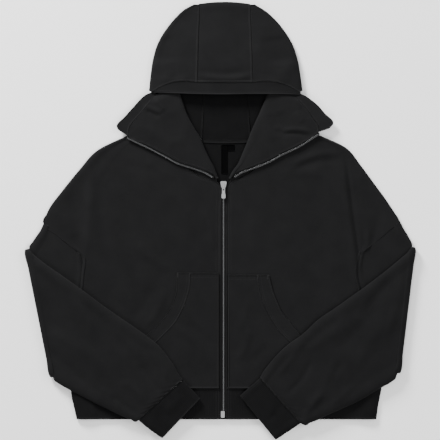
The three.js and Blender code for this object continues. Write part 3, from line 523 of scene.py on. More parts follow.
FRONT_COLUMNS = "innerX innerY foldX foldY outerX outerY foldZ outerZ rolls"
RIGHT_FRONT = table(
    FRONT_COLUMNS,
    [
        (-98, 185, -150, 176, -186, 168, 4.5, 4.1, 1),
        (-90, 150, -205, 142, -249, 136, 4.5, 4.1, 1),
        (-76, 120, -238, 106, -279, 103, 4.6, 4.1, 1),
        (-60, 100, -261, 70, -317, 56, 5, 4.1, 1),
        (-34, 84, -264, 38, -342, 22, 5.5, 4.1, 1),
        (-2, 72, -265, 12, -352.6, -8.7, 5.9, 4.2, 0),
        (1, 20, -267, -20, -327.6, -30.8, 6.2, 4.4, 0),
        (1, -30, -270, -47, -301.6, -52.2, 6.5, 4.6, 0),
        (1, -72, -272, -74, -277.5, -74.5, 6.6, 6.2, 1),
        (1, -110, -274, -110, -279, -110, 6.5, 6.2, 1),
        (1, -150, -278, -150, -283, -150, 6, 5.8, 1),
        (1, -200, -283, -200, -288, -200, 5.4, 5.2, 1),
        (1, -268, -288, -268, -293, -268, 4.7, 4.5, 1),
        (1, HEM_TOP, -294, HEM_TOP, -299, HEM_TOP, 4.5, 4.2, 1),
    ],
)
LEFT_FRONT = table(
    FRONT_COLUMNS,
    [
        (106, 185, 160, 176, 201, 168, 4.5, 4.1, 1),
        (98, 150, 215, 146, 256, 141, 4.5, 4.1, 1),
        (84, 120, 240, 112, 281, 110, 4.6, 4.1, 1),
        (68, 100, 249, 80, 309, 72, 5, 4.1, 1),
        (42, 84, 251, 48, 337, 33, 5.5, 4.1, 1),
        (16, 72, 254, 14, 358, -4, 5.9, 4.2, 0),
        (13, 20, 258, -10, 342, -18.6, 6.2, 4.4, 0),
        (13, -30, 263, -35, 312.5, -43.8, 6.5, 4.5, 0),
        (13, -66, 269, -64, 286, -66, 6.6, 4.8, 0),
        (13, -106, 272, -104, 277, -104, 6.5, 6.2, 1),
        (13, -150, 283, -150, 288, -150, 6, 5.8, 1),
        (13, -200, 293, -200, 298, -200, 5.4, 5.2, 1),
        (13, -268, 305, -268, 310, -268, 4.7, 4.5, 1),
        (13, HEM_TOP, 318, HEM_TOP, 323, HEM_TOP, 4.5, 4.2, 1),
    ],
)
BACK_NECK = table(
    "x y",
    [(-186, 163), (-98, 182), (-70, 168), (-46, 157), (62, 157), (86, 168), (106, 182), (201, 163)],
)
BACK_INSET = 4.4
BACK_STEPS = 14
ROLL_WIDTH = 4.0
ROLL_FOOT = 1.4
STEP_WIDTH = 9.0
ROLL_SHARE = 0.7
STEP_SHARE = 0.6
ROLL_ANGLES = (30, 60, 90)
ARMPIT_BLEND = 80.0
ARMHOLE_LAP = 0.8
ARMHOLE_TUCK = 4.5
TUCK = (15.0, 11.0, 8.0)


def front_height(x: float, y: float) -> float:
    """Middle surface of the front panels, away from the side folds."""
    across = min(1.0, abs(x - ZIP_X) / BODY_HALF)
    reach = CHEST_REACH_UP if y > CHEST_Y else CHEST_REACH_DOWN
    chest = mix(CHEST_LEAST, 1, float(smooth(1 - abs(y - CHEST_Y) / reach)))
    return FRONT_BASE + FRONT_LOFT * chest * math.sin(math.pi * across)


def front_row(row: Row) -> list[tuple[float, float, float]]:
    """One row of a front panel, from the zip to the side."""
    fold = np.array([row["foldX"], row["foldY"]])
    outer = np.array([row["outerX"], row["outerY"]])
    points = []
    for k in range(FRONT_STEPS + 1):
        x, y = mix(row["innerX"], fold[0], k / FRONT_STEPS), mix(row["innerY"], fold[1], k / FRONT_STEPS)
        lift = row["foldZ"] - front_height(*fold)
        near = float(smooth(1 - abs(x - fold[0]) / ARMPIT_BLEND))
        points.append((x, y, front_height(x, y) + lift * near))
    length = float(np.hypot(*(outer - fold)))
    flat = length - min(ROLL_WIDTH, length * ROLL_SHARE)

    def place(d: float, z: float) -> tuple[float, float, float]:
        """A point at a distance past the fold."""
        x, y = fold + (outer - fold) * d / length
        return (float(x), float(y), z)

    top = row["outerZ"] + (0.0 if row["rolls"] else ARMHOLE_LAP)
    points.append(place(min(STEP_WIDTH, flat * STEP_SHARE), top))
    points.append(place(flat, top))
    drop = row["rolls"] * (top - ROLL_FOOT)
    for angle in ROLL_ANGLES:
        a = math.radians(angle)
        points.append(place(mix(flat, length - CLOTH / 2, math.sin(a)), top - drop * (1 - math.cos(a))))
    return points


def back_rows() -> np.ndarray:
    """The flat back panel, inside the edges of the two fronts."""
    rows = []
    for i, (right, left) in enumerate(zip(RIGHT_FRONT, LEFT_FRONT)):
        right_x = right["outerX"] + (BACK_INSET if right["rolls"] else 0.2)
        left_x = left["outerX"] - (BACK_INSET if left["rolls"] else 0.2)
        row = []
        for k in range(BACK_STEPS + 1):
            s = k / BACK_STEPS
            x, y = mix(right_x, left_x, s), mix(right["outerY"], left["outerY"], s)
            row.append((x, look_up(BACK_NECK, "x", x, "y") if i == 0 else y, CLOTH / 2))
        rows.append(row)
    return np.array(rows)


RIGHT_OPENING = table(
    "y seam opening",
    [
        (-106, 59, 86),
        (-136, 61.5, 86),
        (-160, 68, 92),
        (-184, 78, 104),
        (-206, 91, 120),
        (-226, 110, 141),
        (-246, 130, 162),
    ],
)
LEFT_OPENING = table(
    "y seam opening",
    [
        (-110, 74, 98),
        (-136, 78, 104),
        (-160, 84, 113),
        (-184, 94, 124),
        (-206, 107, 142),
        (-226, 122, 158),
        (-244, 140, 167),
    ],
)
BINDING_END = {"y": -266.0, "seam": 154.0}
POCKET_LIFT = CLOTH + SEAM
POCKET_COLUMNS = 6
POCKET_FOOT = (BINDING_END["y"] - 2, -300, HEM_TOP + 1)


def pocket_point(x: float, y: float) -> tuple[float, float, float]:
    """A point of the pocket's middle surface."""
    return (x, y, front_height(x, y) + POCKET_LIFT)


def pocket_grids(front_edge: float, sign: int, opening: list[Row]) -> tuple[np.ndarray, np.ndarray]:
    """The pocket and the binding along its opening.

    Args:
        front_edge: The pocket's edge by the zip.
        sign: 1 for the left pocket and -1 for the right one.
        opening: The table of that opening.

    Returns:
        The grids of the pocket and of its binding.
    """
    last = opening[-1]
    rows = [(row["y"], row["seam"]) for row in opening]
    rows.append(((last["y"] + BINDING_END["y"]) / 2, (last["seam"] + BINDING_END["seam"]) / 2))
    rows.append((BINDING_END["y"], BINDING_END["seam"]))
    rows += [(y, POCKET_SIDE) for y in POCKET_FOOT]
    shares = [k / POCKET_COLUMNS for k in range(POCKET_COLUMNS + 1)]
    pocket = [[pocket_point(mix(front_edge, sign * (w - SEAM), t), y) for t in shares] for y, w in rows]
    edges = [(row["y"], row["seam"] + SEAM, row["opening"]) for row in opening]
    edges.append((BINDING_END["y"], BINDING_END["seam"] + SEAM, POCKET_SIDE))
    binding = [[pocket_point(sign * w, y) for w in (a, (a + b) / 2, b)] for y, a, b in edges]
    return np.array(pocket), np.array(binding)


# Sleeves, cuffs and the hem band

SLEEVE_HEIGHT = 5.6
ELBOW_RADIUS = 0.6
SLEEVE_LOFT = 1.6
CUFF_HEIGHT = 6.0
FLAT_STEPS = 7
ROUND_STEPS = 3
FOLD_STEPS = 6
LOFT_RINGS = 3
FIRST_LOFT = 0.15
LAST_LOFT = 0.5
UPPER_COLUMNS = "ax ay bx by"
FOREARM_COLUMNS = "ax ay az bx by bz"
RIGHT_UPPER_SLEEVE = table(
    UPPER_COLUMNS,
    [
        (-352.5, -9.5, -287, -67.5),
        (-359, -20, -281, -104),
        (-367, -32, -285.5, -150),
        (-374.5, -43, -300, -202),
        (-380.5, -51, -318, -256),
    ],
)
RIGHT_ELBOW = {"ax": -385.0, "ay": -58.0, "bx": -334.0, "by": -314.0}
RIGHT_FOREARM = table(
    FOREARM_COLUMNS,
    [
        (-372, -70, 6.8, -330, -321, 6.8),
        (-352, -86, 7.4, -317, -330, 6.8),
        (-322, -107, 8.3, -297, -341, 6.8),
        (-278, -138, 9.4, -270, -355, 7),
        (-238, -168, 9.4, -249, -366, 7.4),
        (-198, -196, 9.5, -228, -376, 7.9),
        (-160, -222, 9.6, -208, -386, 8.6),
        (-122, -252, 9.6, -190, -394, 8.8),
        (-98, -282, 9.6, -177, -399, 8.8),
        (-80, -311, 9.5, -167, -402, 8.6),
        (-75.5, -318, 9.4, -162.5, -398.5, 8.5),
    ],
)
RIGHT_CUFF = table(
    FOREARM_COLUMNS,
    [
        (-75, -318.8, 9.3, -162.5, -399.3, 8.4),
        (-65, -329, 9, -151, -410, 7.2),
        (-52, -343, 8.6, -133, -424, 5.4),
        (-40, -356, 8.2, -116, -436, 3.8),
    ],
)
LEFT_UPPER_SLEEVE = table(
    UPPER_COLUMNS,
    [
        (359, -5, 289, -65),
        (366, -15, 279.5, -106),
        (373, -26, 290.5, -150),
        (379, -37, 307, -202),
        (383.5, -47, 332, -254),
    ],
)
LEFT_ELBOW = {"ax": 385.3, "ay": -54.0, "bx": 355.0, "by": -306.0}
LEFT_FOREARM = table(
    FOREARM_COLUMNS,
    [
        (376, -64, 6.8, 350, -317, 6.8),
        (360, -78, 7.2, 340, -325, 6.8),
        (332, -101, 8.1, 322, -335, 6.8),
        (290, -133, 9.4, 294, -352, 6.9),
        (262, -153, 9.4, 270, -365, 7.2),
        (228, -177, 9.5, 250, -374, 7.6),
        (196, -199, 9.6, 230, -383, 8.4),
        (166, -227, 9.6, 212, -391, 8.8),
        (134, -250, 9.6, 196, -399, 8.8),
        (106, -278, 9.6, 180, -405, 8.8),
        (84, -307, 9.5, 168, -409, 8.6),
        (80, -315, 9.4, 161, -405, 8.5),
    ],
)
LEFT_CUFF = table(
    FOREARM_COLUMNS,
    [
        (79.5, -315.8, 9.3, 160.8, -405.8, 8.3),
        (68, -326, 9, 148, -415, 7),
        (54, -338, 8.6, 130, -427, 5.2),
        (40, -351, 8.2, 112, -439, 3.8),
    ],
)


@dataclass(frozen=True)
class RingLine:
    """One flattened ring of a sleeve: its two edges, its upper side and its loft."""

    a: np.ndarray
    b: np.ndarray
    up: np.ndarray
    loft: float


UP = np.array([0.0, 0.0, 1.0])


def ring_middle(line: RingLine, height: float, thickness: float) -> np.ndarray:
    """The middle surface of a flattened ring.

    Args:
        line: The ring's edges, upper side and loft.
        height: Whole height of the flattened tube.
        thickness: Thickness of its cloth.

    Returns:
        The ring's points, from the first edge over the upper side and back underneath.
    """
    half = height / 2 - thickness / 2
    along = unit(line.b - line.a)
    centre_a = line.a + along * height / 2
    centre_b = line.b - along * height / 2
    over = max(line.loft, 0.0)
    under = max(-line.loft, 0.0)
    ring = []
    for k in range(FLAT_STEPS + 1):
        s = k / FLAT_STEPS
        ring.append(mix(centre_a, centre_b, s) + line.up * (half + over * math.sin(math.pi * s)))
    for k in range(1, ROUND_STEPS + 1):
        angle = math.pi * k / (ROUND_STEPS + 1)
        ring.append(centre_b + along * half * math.sin(angle) + line.up * half * math.cos(angle))
    for k in range(FLAT_STEPS, -1, -1):
        s = k / FLAT_STEPS
        ring.append(mix(centre_a, centre_b, s) - line.up * half + UP * under * math.sin(math.pi * s))
    for k in range(1, ROUND_STEPS + 1):
        angle = math.pi * k / (ROUND_STEPS + 1)
        ring.append(centre_a - along * half * math.sin(angle) - line.up * half * math.cos(angle))
    return np.array(ring)


def tucked(r: Row, ring: int, height: float) -> np.ndarray:
    """The inner edge of an upper sleeve's ring, pushed under the body's side fold near the armhole."""
    a, b = np.array([r["ax"], r["ay"]]), np.array([r["bx"], r["by"]])
    push = TUCK[ring] if ring < len(TUCK) else 0.0
    x, y = b + (b - a) / float(np.hypot(*(b - a))) * push
    return np.array([x, y, height])


def sleeve_lines(upper: list[Row], elbow: Row, forearm: list[Row]) -> list[RingLine]:
    """The rings of a sleeve, from the armhole round the elbow to the cuff's seam."""
    half = SLEEVE_HEIGHT / 2
    lines = [
        RingLine(np.array([r["ax"], r["ay"], half]), tucked(r, i, half), UP, 0.0) for i, r in enumerate(upper)
    ]
    first, second = lines[0], lines[1]
    inward = unit(first.a + first.b - second.a - second.b) * ARMHOLE_TUCK
    lines[0] = RingLine(first.a + inward, first.b + inward, UP, 0.0)
    side = unit(np.array([elbow["bx"] - elbow["ax"], elbow["by"] - elbow["ay"], 0.0]))
    outward = np.cross(side, UP)
    if outward[0] * elbow["ax"] < 0:
        outward = -outward
    for k in range(FOLD_STEPS + 1):
        angle = math.pi * k / FOLD_STEPS
        radial = outward * math.sin(angle) - UP * math.cos(angle)
        pivot = UP * (SLEEVE_HEIGHT + ELBOW_RADIUS)
        a = np.array([elbow["ax"], elbow["ay"], 0.0]) + pivot + radial * (half + ELBOW_RADIUS)
        b = np.array([elbow["bx"], elbow["by"], 0.0]) + pivot + radial * (half + ELBOW_RADIUS)
        lines.append(RingLine(a, b, -radial, 0.0))
    for i, r in enumerate(forearm):
        full = float(smooth(i / LOFT_RINGS)) * (1.0 if i < len(forearm) - 1 else LAST_LOFT)
        a = np.array([r["ax"], r["ay"], r["az"] + half])
        b = np.array([r["bx"], r["by"], r["bz"] + half])
        lines.append(RingLine(a, b, -UP, -SLEEVE_LOFT * (FIRST_LOFT if i == 0 else full)))
    return lines


def sleeve_grid(upper: list[Row], elbow: Row, forearm: list[Row]) -> np.ndarray:
    """Middle surface of a whole folded sleeve."""
    lines = sleeve_lines(upper, elbow, forearm)
    return np.array([ring_middle(line, SLEEVE_HEIGHT, CLOTH) for line in lines])


def cuff_grid(rows: list[Row]) -> np.ndarray:
    """Middle surface of a cuff."""
    half = CUFF_HEIGHT / 2
    lines = [
        RingLine(
            np.array([r["ax"], r["ay"], r["az"] + half]),
            np.array([r["bx"], r["by"], r["bz"] + half]),
            UP,
            SLEEVE_LOFT / 2,
        )
        for r in rows
    ]
    return np.array([ring_middle(line, CUFF_HEIGHT, RIB) for line in lines])


HEM_ROWS = table(
    "y rightX leftX",
    [(HEM_TOP - SEAM, -299, 323), (-358, -296, 319), (-380, -291, 315), (HEM_BOTTOM, -287, 313)],
)
HEM_FRONT_STEPS = 6
HEM_BACK_STEPS = 8
HEM_FOLD_STEPS = 4
HEM_RADIUS = (RIB + SEAM) / 2


def hem_grid() -> np.ndarray:
    """Middle surface of the hem band, from one side of the zip round the back to the other."""
    grid = []
    for r in HEM_ROWS:
        y = r["y"]
        right = r["rightX"] + RIB / 2 + HEM_RADIUS
        left = r["leftX"] - RIB / 2 - HEM_RADIUS
        low = RIB / 2
        high = low + 2 * HEM_RADIUS
        row = []
        for k in range(HEM_FRONT_STEPS):
            row.append((mix(ZIP_X - ZIP_OPENING / 2, right, k / HEM_FRONT_STEPS), y, high))
        for k in range(HEM_FOLD_STEPS + 1):
            a = math.pi * k / HEM_FOLD_STEPS
            row.append((right - HEM_RADIUS * math.sin(a), y, low + HEM_RADIUS * (1 + math.cos(a))))
        for k in range(1, HEM_BACK_STEPS):
            row.append((mix(right, left, k / HEM_BACK_STEPS), y, low))
        for k in range(HEM_FOLD_STEPS + 1):
            a = math.pi * k / HEM_FOLD_STEPS
            row.append((left + HEM_RADIUS * math.sin(a), y, low + HEM_RADIUS * (1 - math.cos(a))))
        for k in range(HEM_FRONT_STEPS - 1, -1, -1):
            row.append((mix(ZIP_X + ZIP_OPENING / 2, left, k / HEM_FRONT_STEPS), y, high))
        grid.append(row)
    return np.array(grid)


# The hood and its two rolled fronts

HOOD_CROWN_Z = 5.5
HOOD_BRIM_Z = 17.0
HOOD_SIDE_Z = 9.0
CROWN_Y = 436.5
BRIM_SEAM_Y = 276.0
CROWN_RADIUS = (HOOD_CROWN_Z - CLOTH / 2) / 2
CROWN_FOLD_Y = CROWN_Y - CROWN_RADIUS - CLOTH / 2
CROWN_BOW = 4.0
CROWN_BOW_REACH = 70.0
HOOD_SEAM_GAP = 0.6
HOOD_COLUMNS = 6
CROWN_ANGLES = (30, 60, 90, 120, 150)
HOOD_CROSS_CROWN = 1.2
HOOD_CENTRE_UPPER = table(
    "y rightX leftX",
    [
        (BRIM_SEAM_Y, -46, 64),
        (300, -45.5, 63.5),
        (330, -45, 63),
        (360, -44, 62),
        (390, -43, 61),
        (414, -42, 60),
        (CROWN_FOLD_Y, -42, 60),
    ],
)
HOOD_CENTRE_BACK = table(
    "y rightX leftX",
    [
        (CROWN_FOLD_Y, -41, 60),
        (410, -39, 59),
        (370, -37, 57),
        (320, -35, 56),
        (270, -34, 55),
        (218, -34, 57),
        (BACK_NECK_Y, -37, 61),
    ],
)
HOOD_SIDE_COLUMNS = "topX topY foldX foldY backX backY topBow backBow"
RIGHT_HOOD = table(
    HOOD_SIDE_COLUMNS,
    [
        (-42, 430.5, -53, 430.5, -41, 429, 0, 0),
        (-42, 420, -72, 420, -40, 415, 0, 0),
        (-42, 405, -90, 403, -39, 395, 0, 0),
        (-43, 385, -108, 381, -37.5, 370, 0, 0),
        (-44, 360, -124, 354, -36, 336, 2, 0),
        (-45, 330, -134, 322, -35, 290, 5, 3),
        (-45.5, 302, -139, 289, -34, 230, 8, 10),
        (-46, BRIM_SEAM_Y, -142, 259, -37, 163, 10, 20),
    ],
)
LEFT_HOOD = table(
    HOOD_SIDE_COLUMNS,
    [
        (60, 430.5, 70, 430.5, 60, 429, 0, 0),
        (60, 420, 90, 418.5, 59, 415, 0, 0),
        (60, 405, 110, 401, 58.5, 395, 0, 0),
        (61, 385, 129, 378, 57, 370, 0, 0),
        (62, 360, 144, 353, 56, 336, 2, 0),
        (63, 330, 155, 322, 55.5, 290, 5, 3),
        (63.5, 302, 161, 289, 56, 230, 8, 10),
        (64, BRIM_SEAM_Y, 165, 259, 61, 163, 10, 20),
    ],
)
HOOD_TOP_STEPS = 6
HOOD_BACK_STEPS = 6
SIDE_FOLD = (45, 90, 135)


def hood_upper_z(y: float) -> float:
    """Middle surface of the hood's upper layer along its centre panel."""
    return mix(HOOD_CROWN_Z, HOOD_BRIM_Z, float(smooth((CROWN_FOLD_Y - y) / (CROWN_FOLD_Y - BRIM_SEAM_Y))))


def hood_centre_row(r: Row, z: float, bulge: float) -> list[tuple[float, float, float]]:
    """One row of the hood's centre panel, from its right seam to its left one."""
    points = []
    for k in range(HOOD_COLUMNS + 1):
        u = 2 * k / HOOD_COLUMNS - 1
        near = float(smooth(1 - (CROWN_FOLD_Y - min(r["y"], CROWN_FOLD_Y)) / CROWN_BOW_REACH))
        x = mix(r["rightX"] + HOOD_SEAM_GAP / 2, r["leftX"] - HOOD_SEAM_GAP / 2, k / HOOD_COLUMNS)
        points.append((x, r["y"] - CROWN_BOW * near * u * u, z + bulge * (1 - u * u)))
    return points


def hood_centre_grid() -> np.ndarray:
    """The centre panel, from the brim over the crown fold and down the back to the neck."""
    rows = [hood_centre_row(r, hood_upper_z(r["y"]), HOOD_CROSS_CROWN) for r in HOOD_CENTRE_UPPER]
    for angle in CROWN_ANGLES:
        a = math.radians(angle)
        share = (1 + math.cos(a)) / 2
        r = {**HOOD_CENTRE_UPPER[-1], "y": CROWN_FOLD_Y + CROWN_RADIUS * math.sin(a)}
        rows.append(hood_centre_row(r, CLOTH / 2 + 2 * CROWN_RADIUS * share, HOOD_CROSS_CROWN * share))
    rows += [hood_centre_row(r, CLOTH / 2, 0.0) for r in HOOD_CENTRE_BACK]
    return np.array(rows)


def hood_upper_stretch(r: Row, share: float) -> tuple[list[np.ndarray], np.ndarray, np.ndarray, float, float]:
    """The upper stretch of a side panel's row.

    Args:
        r: The row of the panel's table.
        share: How far along the panel it lies, 0 at the crown and 1 at the brim.

    Returns:
        Its points, where the fold starts, the fold's direction, its radius and the side's sign.
    """
    out = math.copysign(1.0, r["foldX"])
    side_z = mix(HOOD_CROWN_Z, HOOD_SIDE_Z, share)
    radius = (side_z - CLOTH / 2) / 2
    middle = np.array([(r["topX"] + r["backX"]) / 2, (r["topY"] + r["backY"]) / 2, 0.0])
    fold = np.array([r["foldX"], r["foldY"], 0.0])
    outward = unit(fold - middle)
    start = fold + outward * (-radius - CLOTH / 2)
    seam_x = r["topX"] + out * HOOD_SEAM_GAP / 2
    points = []
    for k in range(HOOD_TOP_STEPS + 1):
        s = k / HOOD_TOP_STEPS
        z = side_z + (hood_upper_z(r["topY"]) - side_z) * math.cos(math.pi * s / 2)
        y = mix(r["topY"], start[1], s) + r["topBow"] * math.sin(math.pi * s)
        points.append(np.array([mix(seam_x, start[0], s), y, z]))
    return points, start, outward, radius, out


def hood_side_grid(rows: list[Row]) -> np.ndarray:
    """One side panel, from the upper seam round the side fold to the back seam."""
    grid = []
    for i, r in enumerate(rows):
        points, start, outward, radius, out = hood_upper_stretch(r, i / (len(rows) - 1))
        for angle in SIDE_FOLD:
            a = math.radians(angle)
            spot = start + outward * radius * math.sin(a)
            points.append(np.array([spot[0], spot[1], CLOTH / 2 + radius * (1 + math.cos(a))]))
        end = np.array([r["backX"] + out * HOOD_SEAM_GAP / 2, r["backY"], 0.0])
        along = unit(end - start)
        push = np.array([along[1] * out, -along[0] * out, 0.0])
        if push[1] > 0:
            push = -push
        for k in range(HOOD_BACK_STEPS + 1):
            s = k / HOOD_BACK_STEPS
            spot = mix(start, end, s) + push * r["backBow"] * math.sin(math.pi * s)
            points.append(np.array([spot[0], spot[1], CLOTH / 2]))
        grid.append(points)
    return np.array(grid)


BRIM_EDGE = table("x y", [(-142, 254), (-126, 255), (-54, 252), (5, 251), (64, 252), (122, 252), (164, 251)])
BRIM_DROOP = 1.0


def brim_band_grid() -> np.ndarray:
    """The edge band that hangs from the lower ends of the three hood panels."""
    right = hood_upper_stretch(RIGHT_HOOD[-1], 1.0)[0][::-1]
    left = hood_upper_stretch(LEFT_HOOD[-1], 1.0)[0]
    centre = [np.array(p) for p in hood_centre_grid()[0][1:-1]]
    grid = []
    for p in [*right, *centre, *left]:
        upper = np.array([p[0], p[1] - HOOD_SEAM_GAP, p[2]])
        lower = np.array([p[0], look_up(BRIM_EDGE, "x", p[0], "y"), p[2] - BRIM_DROOP])
        grid.append([upper, mix(upper, lower, 0.5), lower])
    return np.array(grid)


LAPEL_COLUMNS = "neckX neckY rollX rollY edgeX edgeY edgeZ"
RIGHT_LAPEL = table(
    LAPEL_COLUMNS,
    [
        (-7.5, 75.3, -3, 84, -10, 90, 8.6),
        (-17.5, 79.3, -12, 106, -29, 99, 9.2),
        (-33.5, 85.3, -20, 121, -51, 107, 9.6),
        (-50.5, 95.3, -29, 140, -82, 117, 9.8),
        (-65.5, 109.3, -38, 162, -110, 132, 10),
        (-78.5, 130.3, -50, 182, -147, 151, 10.2),
        (-89.5, 158.3, -62, 204, -184, 168.5, 10.2),
        (-94.5, 177.3, -68, 217, -181, 186, 10),
        (-98.5, 193.3, -72, 229, -169, 202, 9.6),
        (-104.5, 209.3, -77, 243, -154, 219, 9.2),
        (-112.5, 225.3, -81, 255, -139, 237, 8.8),
        (-116, 238, -90, 263, -128, 251, 4.6),
    ],
)
RIGHT_LAPEL_BAND = table(
    "row bandX bandY bandZ",
    [
        (6, -203, 180.5, 9.6),
        (7, -206, 189, 9.2),
        (8, -191, 205, 8.8),
        (9, -174, 224, 8.4),
        (10, -148, 250, 8),
        (11, -132, 256, 4.2),
    ],
)
LEFT_LAPEL = table(
    LAPEL_COLUMNS,
    [
        (21.3, 75.6, 17, 83, 24, 90, 8.6),
        (30.3, 79.6, 25, 98, 38, 97, 9.2),
        (42.3, 85.6, 36, 113, 66, 108, 9.6),
        (58.3, 95.6, 46, 136, 96, 120, 9.8),
        (73.3, 109.6, 54, 155, 121, 134, 10),
        (86.3, 130.6, 61, 174, 153, 149, 10.2),
        (97.3, 158.6, 70, 195, 196, 176, 10.2),
        (102.3, 177.6, 78, 212, 195, 188, 10),
        (107.3, 193.6, 84, 226, 183, 207, 9.6),
        (114.3, 209.6, 90, 240, 171, 224, 9.2),
        (124.3, 225.6, 96, 255, 156, 240, 8),
        (128, 238, 106, 263, 147, 251, 4.6),
    ],
)
LEFT_LAPEL_BAND = table(
    "row bandX bandY bandZ",
    [
        (6, 218, 183.5, 9.6),
        (7, 226, 193, 9.2),
        (8, 209, 213, 8.8),
        (9, 194, 230, 8.4),
        (10, 167, 249.4, 7),
        (11, 152, 255, 4.2),
    ],
)
LAPEL_RADIUS = 2.0
LAPEL_UNDER_Z = 5.2
LAPEL_UNDER_STEPS = 3
LAPEL_TOP_STEPS = 5
LAPEL_CROWN = 1.0
LAPEL_FULL = 60.0
TAPE_WIDTH = 5.2
TAPE_START_GAP = 2.4
TAPE_ROWS = 6


def lapel_edge(r: Row) -> np.ndarray:
    """The free edge of a rolled front, on its middle surface."""
    return np.array([r["edgeX"], r["edgeY"], r["edgeZ"]])


def lapel_grid(rows: list[Row]) -> np.ndarray:
    """A hood front: from the neckline under to the roll, and back over it to the edge."""
    grid = []
    for r in rows:
        neck = np.array([r["neckX"], r["neckY"], FRONT_BASE])
        edge = lapel_edge(r)
        roll = np.array([r["rollX"], r["rollY"], 0.0])
        middle = (neck + edge) / 2 * np.array([1, 1, 0])
        outward = unit(roll - middle)
        turn = roll + outward * (-LAPEL_RADIUS - CLOTH / 2)
        level = np.array([turn[0], turn[1], LAPEL_UNDER_Z])
        points = [mix(neck, level, k / LAPEL_UNDER_STEPS) for k in range(LAPEL_UNDER_STEPS + 1)]
        for angle in SIDE_FOLD:
            a = math.radians(angle)
            rise = UP * LAPEL_RADIUS * (1 - math.cos(a))
            points.append(level + outward * LAPEL_RADIUS * math.sin(a) + rise)
        over = level + UP * 2 * LAPEL_RADIUS
        rise = LAPEL_CROWN * min(1.0, float(np.linalg.norm(edge - over)) / LAPEL_FULL)
        for k in range(LAPEL_TOP_STEPS + 1):
            s = k / LAPEL_TOP_STEPS
            points.append(mix(over, edge, s) + UP * rise * math.sin(math.pi * s))
        grid.append(points)
    return np.array(grid)


def lapel_band_grid(lapel: list[Row], band: list[Row]) -> np.ndarray:
    """The edge band of a rolled front."""
    grid = []
    for r in band:
        edge = lapel_edge(lapel[int(r["row"])])
        outer = np.array([r["bandX"], r["bandY"], r["bandZ"]])
        inner = edge + unit(outer - edge) * HOOD_SEAM_GAP
        grid.append([inner, mix(inner, outer, 0.5), outer])
    return np.array(grid)


def lapel_tape_grid(lapel: list[Row]) -> np.ndarray:
    """The zip tape along the edge of a rolled front."""
    edges = [lapel_edge(r) for r in lapel[: TAPE_ROWS + 1]]
    grid = []
    for i, edge in enumerate(edges):
        run = edges[min(TAPE_ROWS, i + 1)] - edges[max(0, i - 1)]
        run = unit(run * np.array([1, 1, 0]))
        away = np.array([-run[1], run[0], 0.0])
        if away[1] > 0:
            away = -away
        gap = TAPE_START_GAP if i == 0 else HOOD_SEAM_GAP
        grid.append([edge + away * gap, edge + away * (gap + TAPE_WIDTH)])
    return np.array(grid)


ZIP_FOOT = -382.0
ZIP_HEAD = 73.0
CHAIN_GAP = 0.3
ZIP_ROWS = (ZIP_FOOT, HEM_TOP, -260, -170, -80, 0, 40, ZIP_HEAD)


def closed_tape_grid(sign: int) -> np.ndarray:
    """One tape of the closed zip."""
    inner = ZIP_X + sign * CHAIN_GAP / 2
    outer = ZIP_X + sign * (ZIP_OPENING / 2 - SEAM)
    return np.array([[(inner, y, FRONT_BASE), (outer, y, FRONT_BASE)] for y in ZIP_ROWS])


NECK_TAPE = {"right": -34.0, "left": 57.0, "low": 154.0, "high": 160.0, "dip": 1.5}
NECK_STEPS = 8


def neck_tape_grid() -> np.ndarray:
    """The tape over the back neck seam."""
    z = CLOTH + SEAM + TAPE / 2
    grid = []
    for k in range(NECK_STEPS + 1):
        u = 2 * k / NECK_STEPS - 1
        x = mix(NECK_TAPE["right"], NECK_TAPE["left"], k / NECK_STEPS)
        rise = NECK_TAPE["dip"] * u * u
        grid.append([(x, NECK_TAPE["low"] + rise, z), (x, NECK_TAPE["high"] + rise, z)])
    return np.array(grid)


# Finishes


